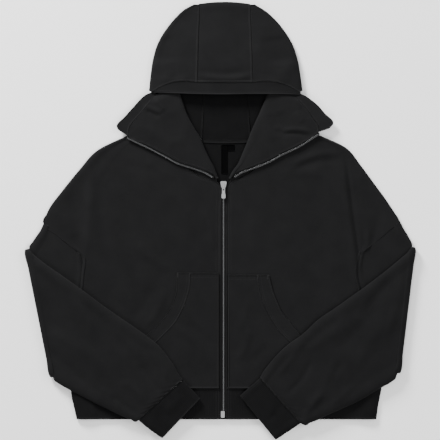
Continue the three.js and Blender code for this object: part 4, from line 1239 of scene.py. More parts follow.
class Nodes:
    """A node material under construction."""

    def __init__(self, name: str) -> None:
        """Starts a material with one Principled shader."""
        self.material = bpy.data.materials.new(name)
        self.material.use_nodes = True
        self.tree = self.material.node_tree
        self.tree.nodes.clear()
        self.output = self.tree.nodes.new("ShaderNodeOutputMaterial")
        self.shader = self.tree.nodes.new("ShaderNodeBsdfPrincipled")
        self.join(self.shader.outputs["BSDF"], self.output.inputs["Surface"])
        self.place = self.tree.nodes.new("ShaderNodeTexCoord").outputs["Object"]
        self.grain = self.tree.nodes.new("ShaderNodeUVMap").outputs["UV"]

    def join(self, source: bpy.types.NodeSocket, target: bpy.types.NodeSocket) -> None:
        """Links two sockets."""
        self.tree.links.new(source, target)

    def noise(self, scale: float, detail: float, rough: float = 0.55) -> bpy.types.Node:
        """A noise over the object's own space, its scale in features per metre."""
        node = self.tree.nodes.new("ShaderNodeTexNoise")
        node.inputs["Scale"].default_value = scale
        node.inputs["Detail"].default_value = detail
        node.inputs["Roughness"].default_value = rough
        self.join(self.place, node.inputs["Vector"])
        return node

    def bands(self, direction: str, scale: float, distortion: float) -> bpy.types.Node:
        """Straight bands along the cloth's grain, their scale in bands per metre."""
        node = self.tree.nodes.new("ShaderNodeTexWave")
        node.wave_type = "BANDS"
        node.bands_direction = direction
        node.wave_profile = "SIN"
        node.inputs["Scale"].default_value = scale / 20 * 2 * math.pi
        node.inputs["Distortion"].default_value = distortion
        node.inputs["Detail"].default_value = 1.0
        node.inputs["Detail Scale"].default_value = 60.0
        self.join(self.grain, node.inputs["Vector"])
        return node

    def ramp(self, source: bpy.types.Node, stops: list[tuple[float, tuple[float, ...]]], target: str) -> None:
        """Leads a node's value through a colour ramp to one of the shader's sockets.

        Args:
            source: The node with the value.
            stops: Places along the ramp and their linear colours.
            target: The name of the shader's socket.
        """
        node = self.tree.nodes.new("ShaderNodeValToRGB")
        while len(node.color_ramp.elements) < len(stops):
            node.color_ramp.elements.new(0.5)
        for element, (place, colour) in zip(node.color_ramp.elements, stops):
            element.position = place
            element.color = (*colour, 1.0)
        self.join(source.outputs["Fac"], node.inputs["Fac"])
        self.join(node.outputs["Color"], self.shader.inputs[target])

    def set(self, **values: float) -> None:
        """Sets whole-surface values on the shader's sockets, with _ for each space in a socket's name."""
        for name, value in values.items():
            self.shader.inputs[name.replace("_", " ")].default_value = value

    def bump(self, height: bpy.types.Node, distance: float, strength: float) -> None:
        """Adds a bump over those that are already there, its distance in metres."""
        node = self.tree.nodes.new("ShaderNodeBump")
        node.inputs["Distance"].default_value = distance
        node.inputs["Strength"].default_value = strength
        self.join(height.outputs["Fac"], node.inputs["Height"])
        before = self.shader.inputs["Normal"]
        if before.is_linked:
            self.join(before.links[0].from_socket, node.inputs["Normal"])
        self.join(node.outputs["Normal"], before)


@dataclass(frozen=True)
class ClothFinish:
    """Dyed cotton: its shades, nap, knit and sheen. Some finishes are darkened by painted shade or lightened
    by painted sheen.
    """

    name: str
    slot: Slot
    dark: tuple[float, float, float]
    light: tuple[float, float, float]
    knit_pitch: float
    row_pitch: float
    knit_depth: float
    nap_depth: float
    sheen: float
    roughness: float = 0.92
    glow: float = 0.05
    sheen_roughness: float = 0.55
    cloud_scale: float = 26.0
    lump_scale: float = 150.0
    lump_depth: float = 0.0006
    nap_scale: float = 1500.0

    def make(self) -> bpy.types.Material:
        """Builds the material: mottled dye, a fine nap and the knit's wales and rows."""
        n = Nodes(self.name)
        n.ramp(n.noise(self.cloud_scale, 6.0, 0.6), [(0.3, self.dark), (0.72, self.light)], "Base Color")
        n.set(Roughness=self.roughness, Specular_IOR_Level=self.glow)
        n.set(Sheen_Weight=self.sheen, Sheen_Roughness=self.sheen_roughness)
        n.bump(n.noise(self.lump_scale, 5.0, 0.6), self.lump_depth, 0.5)
        n.bump(n.noise(self.nap_scale, 3.0, 0.7), self.nap_depth, 0.6)
        n.bump(n.bands("X", 1 / self.knit_pitch, 0.6), self.knit_depth, 0.5)
        n.bump(n.bands("Y", 1 / self.row_pitch, 0.8), self.knit_depth, 0.35)
        return n.material


@dataclass(frozen=True)
class MetalFinish:
    """Plated zinc: bright, a little dulled, with fine scratches."""

    name: str
    slot: Slot
    dark: tuple[float, float, float]
    light: tuple[float, float, float]
    smoothest: float
    roughest: float
    cloud_scale: float = 700.0
    wear_scale: float = 1600.0
    scratch_scale: float = 4000.0
    scratch_depth: float = 0.00004

    def make(self) -> bpy.types.Material:
        """Builds the material: clouded plating, uneven gloss and hairline scratches."""
        n = Nodes(self.name)
        n.ramp(n.noise(self.cloud_scale, 5.0, 0.6), [(0.3, self.dark), (0.7, self.light)], "Base Color")
        n.set(Metallic=1.0)
        low, high = (self.smoothest,) * 3, (self.roughest,) * 3
        n.ramp(n.noise(self.wear_scale, 4.0, 0.65), [(0.35, low), (0.7, high)], "Roughness")
        n.bump(n.noise(self.scratch_scale, 2.0, 0.5), self.scratch_depth, 0.5)
        return n.material


FLEECE = ClothFinish(
    name="brushed_fleece",
    slot=Slot.FLEECE,
    dark=(0.0058, 0.0058, 0.0061),
    light=(0.0074, 0.0074, 0.0077),
    knit_pitch=0.0011,
    row_pitch=0.0009,
    knit_depth=0.00012,
    nap_depth=0.00014,
    sheen=0.02,
)
# The wrong side's colour is darker than the fleece as painted shade, for the shade inside the hood, under the
# brim and between the rolled fronts.
LOOPBACK_PAINTED_SHADE = ClothFinish(
    name="loopback_painted_shade",
    slot=Slot.FLEECE,
    dark=(0.0026, 0.0026, 0.0028),
    light=(0.0040, 0.0040, 0.0042),
    knit_pitch=0.0016,
    row_pitch=0.0012,
    knit_depth=0.0002,
    nap_depth=0.00016,
    sheen=0.01,
)
# Darker than the fleece as painted shade, for the shade along the hem band; the cuffs share this colour.
RIB_KNIT_PAINTED_SHADE = ClothFinish(
    name="rib_knit_painted_shade",
    slot=Slot.RIB,
    dark=(0.0038, 0.0038, 0.0040),
    light=(0.0052, 0.0052, 0.0055),
    knit_pitch=0.0011,
    row_pitch=0.0008,
    knit_depth=0.00012,
    nap_depth=0.00012,
    sheen=0.015,
)
WOVEN_TAPE = ClothFinish(
    name="woven_tape",
    slot=Slot.TAPE,
    dark=(0.0022, 0.0022, 0.0024),
    light=(0.0036, 0.0036, 0.0038),
    knit_pitch=0.0008,
    row_pitch=0.0005,
    knit_depth=0.00012,
    nap_depth=0.00004,
    sheen=0.01,
    roughness=0.8,
    glow=0.08,
)
# Lighter than the fleece as painted sheen on the thread.
THREAD_PAINTED_SHEEN = ClothFinish(
    name="sewing_thread_painted_sheen",
    slot=Slot.FLEECE,
    dark=(0.0115, 0.0115, 0.0120),
    light=(0.0170, 0.0170, 0.0176),
    knit_pitch=0.0008,
    row_pitch=0.0006,
    knit_depth=0.00004,
    nap_depth=0.00004,
    sheen=0.02,
    roughness=0.7,
    glow=0.1,
)
SATIN = ClothFinish(
    name="satin_label",
    slot=Slot.LABEL,
    dark=(0.0010, 0.0010, 0.0011),
    light=(0.0016, 0.0016, 0.0017),
    knit_pitch=0.0005,
    row_pitch=0.0003,
    knit_depth=0.00003,
    nap_depth=0.00002,
    sheen=0.0,
    roughness=0.7,
    glow=0.01,
)
PLATED = MetalFinish("plated_metal", Slot.METAL, (0.50, 0.504, 0.51), (0.68, 0.684, 0.69), 0.26, 0.44)
TOOTH = MetalFinish("tooth_metal", Slot.METAL, (0.15, 0.152, 0.155), (0.26, 0.262, 0.267), 0.32, 0.5)
Finish = ClothFinish | MetalFinish


@dataclass
class Wardrobe:
    """Every finish of the hoodie, each made once."""

    made: dict[str, bpy.types.Material] = field(default_factory=dict)

    def get(self, finish: Finish) -> bpy.types.Material:
        """The material of a finish."""
        if finish.name not in self.made:
            self.made[finish.name] = finish.make()
        return self.made[finish.name]


# Sewing and small repeated parts


def evenly(
    points: np.ndarray, normals: np.ndarray, pitch: float
) -> tuple[np.ndarray, np.ndarray, np.ndarray]:
    """Places at even steps along a line on the cloth.

    Args:
        points: The line.
        normals: The cloth's normals along it.
        pitch: The step, in millimetres.

    Returns:
        The places, the line's directions and the cloth's normals there.
    """
    run = np.concatenate([[0.0], np.cumsum(np.linalg.norm(np.diff(points, axis=0), axis=1))])
    marks = np.arange(pitch / 2, run[-1], pitch)
    ahead, behind = np.minimum(marks + 0.6, run[-1]), np.maximum(marks - 0.6, 0.0)

    def at(values: np.ndarray, where: np.ndarray) -> np.ndarray:
        """Values between the line's points, at distances along it."""
        return np.stack([np.interp(where, run, values[:, k]) for k in range(3)], axis=1)

    return at(points, marks), unit(at(points, ahead) - at(points, behind)), unit(at(normals, marks))


def copies(shape: np.ndarray, faces: list[tuple[int, ...]], places: np.ndarray, frames: np.ndarray) -> tuple:
    """Repeats a small shape.

    Args:
        shape: The shape's points.
        faces: Its faces.
        places: Where each copy goes.
        frames: Three axes for each copy, as rows.

    Returns:
        All the points and all the faces.
    """
    points = places[:, None, :] + np.einsum("vk,nkj->nvj", shape, frames)
    count = len(shape)
    every = [tuple(v + i * count for v in f) for i in range(len(places)) for f in faces]
    return points.reshape(-1, 3), every


@dataclass
class Seamstress:
    """Collects the stitches of one sub-assembly into one mesh."""

    name: str
    pitch: float = 3.6
    length: float = 2.7
    radius: float = 0.34
    sink: float = 0.1
    places: list[np.ndarray] = field(default_factory=list)
    frames: list[np.ndarray] = field(default_factory=list)

    def sew(self, line: tuple[np.ndarray, np.ndarray], pitch: float | None = None) -> None:
        """Adds one row of stitches along a line on the cloth."""
        centres, along, up = evenly(line[0], line[1], pitch or self.pitch)
        across = unit(np.cross(up, along))
        self.places.append(centres - up * self.sink)
        self.frames.append(np.stack([along, across, np.cross(along, across)], axis=1))

    def bar(self, start: tuple[float, float, float], end: tuple[float, float, float]) -> None:
        """Adds a dense bar of stitches across a line, as at the end of a pocket."""
        a, b = np.array(start), np.array(end)
        count = max(2, int(np.linalg.norm(b - a) / 0.75))
        along = unit(b - a)
        across = unit(np.cross(UP, along))
        places = np.array([mix(a, b, k / (count - 1)) for k in range(count)])
        self.places.append(places)
        self.frames.append(np.repeat(np.stack([across, -along, UP])[None], count, axis=0))

    def finish(self, wardrobe: Wardrobe) -> None:
        """Builds all the stitches as one piece."""
        ring = [(math.cos(2 * math.pi * k / 5), math.sin(2 * math.pi * k / 5)) for k in range(5)]
        half = self.length / 2
        shape = [(-half, 0, -self.radius)]
        for x in (-half * 0.6, half * 0.6):
            shape += [(x, c * self.radius, s * self.radius) for c, s in ring]
        shape.append((half, 0, -self.radius))
        faces = [(0, 1 + (k + 1) % 5, 1 + k) for k in range(5)]
        faces += [(1 + k, 1 + (k + 1) % 5, 6 + (k + 1) % 5, 6 + k) for k in range(5)]
        faces += [(11, 6 + k, 6 + (k + 1) % 5) for k in range(5)]
        places, frames = np.concatenate(self.places), np.concatenate(self.frames)
        points, every = copies(np.array(shape), faces, places, frames)
        LOG.info("%s: %d stitches", self.name, len(places))
        dress(mesh_of(self.name, points, every), self.name, wardrobe, THREAD_PAINTED_SHEEN)


@dataclass(frozen=True)
class Tooth:
    """One tooth of the zip: its reach across the chain, its length and its height."""

    near: float = -0.7
    far: float = 1.5
    length: float = 0.98
    low: float = -1.12
    high: float = 1.16
    bevel: float = 0.26

    def shape(self) -> tuple[np.ndarray, list[tuple[int, ...]]]:
        """The tooth's points and faces, along the zip, across it and up."""
        points: list[tuple[float, float, float]] = []
        for z, inset in (
            (self.low, self.bevel),
            (self.low + self.bevel, 0.0),
            (self.high - self.bevel, 0.0),
            (self.high, self.bevel),
        ):
            x = self.length / 2 - inset
            near, far = self.near + inset, self.far - inset
            points += [(-x, near, z), (x, near, z), (x, far, z), (-x, far, z)]
        faces: list[tuple[int, ...]] = [(3, 2, 1, 0), (12, 13, 14, 15)]
        for layer in range(3):
            for k in range(4):
                m = (k + 1) % 4
                faces.append((layer * 4 + k, layer * 4 + m, layer * 4 + 4 + m, layer * 4 + 4 + k))
        return np.array(points), faces


# Sub-assemblies

BODY_CREASES = crease_set(
    (-262, 118, -268, -60, 9, 0.9, 6),
    (-232, 96, -222, -96, 13, -0.7, -8),
    (-206, 84, -196, -70, 14, 0.5),
    (-168, -46, -96, -98, 11, 0.9, -6),
    (-150, -78, -112, -118, 8, -0.6),
    (-20, -2, -10, -58, 6, 0.6),
    (-44, 40, -30, -40, 14, -0.5),
    (-86, -214, -22, -292, 9, 0.9, 10),
    (-60, -206, -14, -250, 8, -0.6),
    (-112, -140, -150, -214, 8, 0.8, 8),
    (-134, -128, -178, -196, 12, -0.7, 8),
    (34, -282, 58, -218, 8, 0.8, -6),
    (54, -292, 96, -252, 9, -0.6),
    (60, -160, 40, -220, 9, 0.5),
    (148, 112, 242, 134, 7, 1.0, 7),
    (150, 100, 236, 118, 8, -0.8, 7),
    (120, 92, 206, 96, 12, 0.5),
    (244, 112, 276, -132, 7, 0.9),
    (253, 116, 287, -140, 4.5, -1.3),
    (216, 60, 238, -120, 16, 0.5, 6),
    (196, -90, 262, -190, 14, 0.7, -8),
    (90, 30, 70, -70, 22, 0.4),
    (-120, 96, -190, 112, 12, -0.6),
    (-92, 82, -150, 118, 9, 0.6),
    (-250, -130, -210, -238, 14, 0.6),
    (296, -20, 286, -92, 6, 1.0, 4),
    (322, 20, 300, -60, 9, -0.6),
    (-330, 24, -292, -36, 10, 0.6),
    (-300, 52, -280, -20, 9, -0.6),
)


@dataclass
class BodyPanels:
    """The back, the two fronts with their pockets, and the stitches of the body."""

    wardrobe: Wardrobe
    back_cut: Cut = (0.70, 0.53, 0.320)
    right_cut: Cut = (0.36, 0.53, 0.153)
    left_cut: Cut = (0.35, 0.53, 0.155)
    pocket_cut: Cut = (0.18, 0.235, 0.030)
    binding_cut: Cut = (0.032, 0.20, 0.0052)
    topstitch: tuple[float, float] = (4.0, 9.0)
    pocket_top_rows: tuple[float, float] = (1.6, 9.0)
    binding_rows: tuple[tuple[Side, float], ...] = (
        (Side.FIRST_COLUMN, 1.6),
        (Side.FIRST_COLUMN, 6.6),
        (Side.LAST_COLUMN, 2.4),
        (Side.FIRST_ROW, 1.8),
    )
    thread: Seamstress = field(default_factory=lambda: Seamstress("body_stitches"))

    def build_back(self) -> None:
        """The back panel, lying flat."""
        piece = Piece(
            "back_cloth",
            back_rows(),
            step=(8.0, 8.0),
            up_at=Side.FIRST_ROW,
            ripple_height=0.0,
            inside_out=True,
        )
        piece.lay(self.wardrobe, FLEECE, "back_body", self.back_cut, LOOPBACK_PAINTED_SHADE)

    def build_fronts(self) -> None:
        """Both fronts, with twin rows of stitches beside the zip."""
        for side, rows, cut in (("right", RIGHT_FRONT, self.right_cut), ("left", LEFT_FRONT, self.left_cut)):
            piece = Piece(
                f"{side}_front_cloth",
                np.array([front_row(r) for r in rows]),
                creases=BODY_CREASES,
                above=2.0,
                puckers={Side.FIRST_COLUMN: 0.22, Side.LAST_ROW: 0.2},
            )
            piece.lay(self.wardrobe, FLEECE, f"{side}_front", cut)
            for offset in self.topstitch:
                self.thread.sew(piece.line(Side.FIRST_COLUMN, offset, 0.30, 1.0))

    def build_pockets(self) -> None:
        """The kangaroo pockets, their bindings and their stitches."""
        both = (("right", -3.0, -1, RIGHT_OPENING), ("left", 17.0, 1, LEFT_OPENING))
        for side, front_edge, sign, opening in both:
            pocket, binding = pocket_grids(front_edge, sign, opening)
            cloth = Piece(
                f"{side}_pocket_cloth",
                pocket,
                creases=BODY_CREASES,
                puckers={Side.FIRST_ROW: 0.25, Side.LAST_COLUMN: 0.2},
            )
            cloth.lay(self.wardrobe, FLEECE, f"{side}_pocket", self.pocket_cut)
            edge = Piece(
                f"{side}_pocket_binding_cloth",
                binding,
                creases=BODY_CREASES,
                puckers={Side.FIRST_COLUMN: 0.25, Side.LAST_COLUMN: 0.3},
            )
            edge.lay(self.wardrobe, FLEECE, f"{side}_pocket_edge", self.binding_cut)
            for offset in self.pocket_top_rows:
                self.thread.sew(cloth.line(Side.FIRST_ROW, offset))
            for at, offset in self.binding_rows:
                self.thread.sew(edge.line(at, offset))
            self.add_bars(sign, opening[0])

    def add_bars(self, sign: int, top: Row) -> None:
        """The bars that hold the upper ends of a pocket's binding."""
        y = top["y"] - 3.0
        for width in (top["seam"] + 2.0, top["opening"] - 2.0):
            x = sign * width
            z = front_height(x, y) + POCKET_LIFT + CLOTH / 2 + 0.35
            self.thread.bar((x, y + 3.5, z), (x, y - 5.0, z))

    def build(self) -> None:
        """Builds the whole body."""
        self.build_back()
        self.build_fronts()
        self.build_pockets()
        self.thread.finish(self.wardrobe)


@dataclass
class SleeveAndCuff:
    """One folded sleeve with its rib cuff."""

    wardrobe: Wardrobe
    side: str
    upper: list[Row]
    elbow: Row
    forearm: list[Row]
    cuff: list[Row]
    creases: tuple[Crease, ...]
    cuff_creases: tuple[Crease, ...]
    sleeve_cut: Cut = (0.52, 0.47, 0.150)
    cuff_cut: Cut = (0.228, 0.052, 0.0118)

    def build(self) -> None:
        """Builds the sleeve, the cuff and the stitches between them."""
        sleeve = Piece(
            f"{self.side}_sleeve_cloth",
            sleeve_grid(self.upper, self.elbow, self.forearm),
            wrap=True,
            creases=self.creases,
            above=4.0,
            seed=2.0 if self.side == "right" else 5.0,
            puckers={Side.LAST_ROW: 0.8},
            pucker_pitch=13.0,
        )
        sleeve.lay(self.wardrobe, FLEECE, f"{self.side}_sleeve", self.sleeve_cut)
        cuff = Piece(
            f"{self.side}_cuff_cloth",
            cuff_grid(self.cuff),
            RIB,
            wrap=True,
            step=(4.0, 0.42),
            creases=self.cuff_creases,
            above=3.0,
            ribs=Ribs(Side.FIRST_COLUMN),
            ripple_height=0.2,
        )
        cuff.lay(self.wardrobe, RIB_KNIT_PAINTED_SHADE, f"{self.side}_cuff", self.cuff_cut)
        thread = Seamstress(f"{self.side}_sleeve_stitches")
        thread.sew(sleeve.line(Side.FIRST_ROW, 2.0))
        thread.sew(sleeve.line(Side.LAST_ROW, 1.8))
        thread.finish(self.wardrobe)


RIGHT_SLEEVE_CREASES = crease_set(
    (-344, -108, -252, -232, 12, 1.1, 8),
    (-352, -150, -290, -252, 11, -0.9, -8),
    (-330, -226, -232, -306, 12, 1.0, 10),
    (-340, -262, -262, -330, 10, -0.8),
    (-262, -176, -186, -262, 12, -0.7),
    (-216, -206, -132, -290, 11, 0.9, -6),
    (-140, -262, -104, -318, 7, 1.0, 4),
    (-160, -290, -120, -344, 7, -0.9),
    (-196, -322, -150, -368, 8, 0.9, 5),
    (-216, -352, -168, -388, 7, -0.8),
    (-236, -336, -196, -374, 8, 0.7),
    (-384, -100, -352, -240, 10, 0.8, -5),
    (-372, -86, -300, -140, 9, 0.7, 5),
)
LEFT_SLEEVE_CREASES = crease_set(
    (362, -104, 330, -238, 10, 0.9, 6),
    (344, -112, 262, -196, 12, -0.9, 8),
    (304, -138, 214, -240, 12, 1.0, 10),
    (340, -196, 272, -300, 13, 0.8, -9),
    (318, -172, 236, -262, 11, -0.8),
    (262, -176, 172, -262, 11, 0.8, 6),
    (226, -300, 176, -372, 9, 1.0, 6),
    (246, -282, 198, -350, 9, -0.8),
    (164, -246, 118, -308, 8, 0.9),
    (182, -282, 136, -346, 7, -0.9, 5),
    (204, -346, 168, -392, 7, 0.9),
    (270, -330, 222, -368, 8, 0.7),
)
RIGHT_CUFF_CREASES = crease_set((-74, -352, -108, -384, 8, 0.7), (-118, -372, -94, -402, 7, -0.5))
LEFT_CUFF_CREASES = crease_set((72, -346, 110, -388, 8, 0.7), (122, -366, 96, -404, 7, -0.5))


HEM_CREASES = crease_set(
    (-262, -340, -246, -396, 9, 0.6),
    (256, -340, 240, -396, 9, 0.6),
    (-30, -340, -36, -396, 10, 0.4),
    (60, -340, 66, -396, 10, 0.4),
)


@dataclass
class HemBand:
    """The rib band round the bottom of the body."""

    wardrobe: Wardrobe
    cut: Cut = (1.20, 0.061, 0.073)
    topstitch: tuple[float, float] = (4.0, 9.0)

    def build(self) -> None:
        """Builds the band and the stitches above it."""
        band = Piece(
            "hem_band_cloth",
            hem_grid(),
            RIB,
            step=(5.0, 0.66),
            above=3.6,
            creases=HEM_CREASES,
            ribs=Ribs(Side.FIRST_COLUMN),
            ripple_height=0.2,
        )
        band.lay(self.wardrobe, RIB_KNIT_PAINTED_SHADE, "hem_band", self.cut)
        thread = Seamstress("hem_band_stitches")
        for offset in self.topstitch:
            thread.sew(band.line(Side.FIRST_COLUMN, offset))
            thread.sew(band.line(Side.LAST_COLUMN, offset))
        thread.finish(self.wardrobe)


HOOD_CREASES = crease_set(
    (-44, 288, 62, 288, 5.5, 1.3, -6),
    (-36, 298, 54, 298, 7, -0.8, -6),
    (-112, 366, -104, 316, 24, -1.0),
    (112, 366, 118, 312, 26, -1.3),
    (-78, 396, -66, 330, 16, 0.6),
    (86, 398, 80, 330, 16, 0.7),
    (-130, 318, -96, 284, 12, 0.8),
    (152, 314, 116, 284, 12, 0.8),
    (-10, 420, -14, 340, 22, 0.5),
    (34, 410, 36, 330, 20, -0.5),
    (-126, 282, -60, 284, 7, 0.7, -4),
    (140, 280, 74, 284, 7, 0.7, 4),
)


@dataclass
class Hood:
    """The three hood panels and the edge band of the brim."""

    wardrobe: Wardrobe
    centre_cut: Cut = (0.106, 0.445, 0.0440)
    side_cut: Cut = (0.30, 0.28, 0.0440)
    band_cut: Cut = (0.32, 0.026, 0.0075)
    thread: Seamstress = field(default_factory=lambda: Seamstress("hood_stitches"))

    def build_centre(self) -> None:
        """The centre panel, with a row of stitches inside each seam."""
        centre = Piece(
            "hood_centre_cloth",
            hood_centre_grid(),
            up_at=Side.FIRST_ROW,
            creases=HOOD_CREASES,
            above=3.0,
            seed=7.0,
            puckers={Side.FIRST_COLUMN: 0.2, Side.LAST_COLUMN: 0.2, Side.FIRST_ROW: 0.3},
        )
        centre.lay(self.wardrobe, FLEECE, "hood_centre", self.centre_cut, LOOPBACK_PAINTED_SHADE)
        for side in (Side.FIRST_COLUMN, Side.LAST_COLUMN):
            self.thread.sew(centre.line(side, 2.6, 0.0, 0.96))
        self.thread.sew(centre.line(Side.FIRST_ROW, 2.2))

    def build_sides(self) -> None:
        """The two side panels."""
        for side, rows in (("right", RIGHT_HOOD), ("left", LEFT_HOOD)):
            panel = Piece(
                f"{side}_hood_side_cloth",
                hood_side_grid(rows),
                creases=HOOD_CREASES,
                above=3.0,
                seed=7.0,
                puckers={Side.FIRST_COLUMN: 0.2, Side.LAST_ROW: 0.3},
            )
            panel.lay(self.wardrobe, FLEECE, f"{side}_hood_side", self.side_cut, LOOPBACK_PAINTED_SHADE)
            self.thread.sew(panel.line(Side.FIRST_COLUMN, 2.4, 0.1, 1.0))
            self.thread.sew(panel.line(Side.LAST_ROW, 2.2, 0.0, 0.45))

    def build_band(self) -> None:
        """The edge band of the brim."""
        band = Piece(
            "hood_band_cloth",
            brim_band_grid(),
            up_at=Side.FIRST_COLUMN,
            creases=HOOD_CREASES,
            seed=7.0,
            puckers={Side.FIRST_COLUMN: 0.3, Side.LAST_COLUMN: 0.15},
        )
        band.lay(self.wardrobe, FLEECE, "hood_band", self.band_cut)
        self.thread.sew(band.line(Side.LAST_COLUMN, 4.0))

    def build(self) -> None:
        """Builds the whole hood."""
        self.build_centre()
        self.build_sides()
        self.build_band()
        self.thread.finish(self.wardrobe)


@dataclass
class RolledFront:
    """One unzipped hood front, rolled outward, with its edge band and its half of the zip."""

    wardrobe: Wardrobe
    side: str
    lapel: list[Row]
    band: list[Row]
    creases: tuple[Crease, ...]
    front_cut: Cut = (0.23, 0.20, 0.0290)
    band_cut: Cut = (0.026, 0.09, 0.0019)
    tape_cut: Cut = (0.012, 0.215, 0.0012)
    tooth_pitch: float = 2.3

    def build(self) -> None:
        """Builds cloth, tape, teeth and stitches."""
        front = Piece(
            f"{self.side}_hood_front_cloth",
            lapel_grid(self.lapel),
            up_at=Side.LAST_COLUMN,
            creases=self.creases,
            above=7.0,
            seed=11.0,
            puckers={Side.LAST_COLUMN: 0.45},
            pucker_pitch=14.0,
        )
        front.lay(self.wardrobe, FLEECE, f"{self.side}_hood_front", self.front_cut)
        band = Piece(
            f"{self.side}_hood_band_cloth",
            lapel_band_grid(self.lapel, self.band),
            creases=self.creases,
            seed=11.0,
            puckers={Side.FIRST_COLUMN: 0.3},
        )
        band.lay(self.wardrobe, FLEECE, f"{self.side}_hood_band", self.band_cut)
        thread = Seamstress(f"{self.side}_hood_front_stitches")
        share = TAPE_ROWS / (len(self.lapel) - 1)
        thread.sew(front.line(Side.LAST_COLUMN, 4.5, 0.04, share + 0.1))
        thread.sew(front.line(Side.LAST_COLUMN, 2.2, share + 0.06, 1.0))
        thread.sew(band.line(Side.FIRST_COLUMN, 2.0))
        thread.sew(band.line(Side.LAST_COLUMN, 3.2))
        thread.finish(self.wardrobe)
        self.build_zip_half()

    def build_zip_half(self) -> None:
        """The tape along the edge and its teeth."""
        name, below = f"{self.side}_edge_tape_cloth", f"{self.side}_front_cloth"
        tape = Piece(name, lapel_tape_grid(self.lapel), TAPE, step=(3.0, 1.3), ripple_height=0.0)
        tape.lay(self.wardrobe, WOVEN_TAPE, f"{self.side}_zip_edge", self.tape_cut)
        points, normals = tape.line(Side.LAST_COLUMN, 0.9, 0.02, 1.0)
        places, along, up = evenly(points - normals * TAPE / 2, normals, self.tooth_pitch)
        inside = np.stack([tape.line(Side.FIRST_COLUMN, 0.5, 0.02, 1.0)[0][k] for k in (0, -1)]).mean(axis=0)
        across = unit(np.cross(up, along))
        away = places - inside
        across = across * np.sign((across * away).sum(axis=1, keepdims=True))
        tooth = Tooth(near=-1.6, far=1.5)
        shape, faces = tooth.shape()
        frames = np.stack([np.cross(across, up), across, up], axis=1)
        points, every = copies(shape, faces, places, frames)
        name = f"{self.side}_edge_teeth"
        flat_faces(dress(mesh_of(name, points, every), name, self.wardrobe, TOOTH))


RIGHT_FRONT_CREASES = crease_set(
    (-152, 228, -118, 214, 4.5, 1.0),
    (-146, 219, -122, 206, 4.0, -0.8),
    (-128, 240, -112, 218, 4.0, 0.9),
    (-140, 176, -90, 150, 12, 0.7),
    (-60, 200, -88, 150, 12, 0.5),
    (-100, 210, -84, 160, 14, -0.6),
    (-170, 186, -130, 178, 9, 0.5),
)
LEFT_FRONT_CREASES = crease_set(
    (130, 179, 180, 176, 4.5, 1.1, 3),
    (126, 172, 176, 168, 5.0, -0.9, 3),
    (108, 186, 134, 178, 5.0, 0.6),
    (90, 220, 104, 160, 13, 0.7),
    (118, 214, 124, 170, 12, -0.7),
    (150, 214, 166, 196, 7, 0.7),
    (160, 226, 178, 204, 5, -0.6),
)


def flat_faces(obj: bpy.types.Object) -> None:
    """Shades a piece's faces flat, as for cut metal."""
    obj.data.polygons.foreach_set("use_smooth", [False] * len(obj.data.polygons))


@dataclass
class ZipFastener:
    """The closed zip below the slider, the slider, its pull tab and the box at the foot."""

    wardrobe: Wardrobe
    pitch: float = 2.3
    foot: float = -381.0
    head: float = 64.5
    soft_edge: float = 0.28
    tape_cut: Cut = (0.012, 0.455, 0.0026)

    def build_tapes(self) -> None:
        """Both tapes between the fronts."""
        for side, sign in (("right", -1), ("left", 1)):
            grid = closed_tape_grid(sign)
            tape = Piece(f"{side}_tape_cloth", grid, TAPE, step=(6.0, 1.4), ripple_height=0.0)
            tape.lay(self.wardrobe, WOVEN_TAPE, f"{side}_zip_tape", self.tape_cut)

    def build_teeth(self) -> None:
        """The chain of interlocked teeth."""
        shape, faces = Tooth().shape()
        groups = []
        for sign in (-1, 1):
            marks = np.arange(self.foot + (0 if sign < 0 else self.pitch / 2), self.head, self.pitch)
            places = np.stack([np.full_like(marks, ZIP_X), marks, np.full_like(marks, FRONT_BASE)], axis=1)
            frame = np.array([[0, -sign, 0], [sign, 0, 0], [0, 0, 1]], float)
            groups.append((places, np.repeat(frame[None], len(marks), axis=0)))
        places = np.concatenate([g[0] for g in groups])
        points, every = copies(shape, faces, places, np.concatenate([g[1] for g in groups]))
        flat_faces(dress(mesh_of("zip_teeth", points, every), "zip_teeth", self.wardrobe, TOOTH))

    def dress_metal(self, nodes: dict[str, bpy.types.Object]) -> None:
        """Gives the solids of the slider, the tab and the box their metal and soft edges."""
        for name in ("slider", "pull_tab", "zip_box"):
            obj = nodes[name]
            obj.data.materials.clear()
            obj.data.materials.append(self.wardrobe.get(PLATED))
            bevel = obj.modifiers.new("soft_edges", "BEVEL")
            bevel.width = self.soft_edge * MM
            bevel.segments = 2
            bevel.limit_method = "ANGLE"
            LOG.info("%s: solid kept, with metal", name)

    def build(self, nodes: dict[str, bpy.types.Object]) -> None:
        """Builds the whole fastener."""
        self.build_tapes()
        self.build_teeth()
        self.dress_metal(nodes)


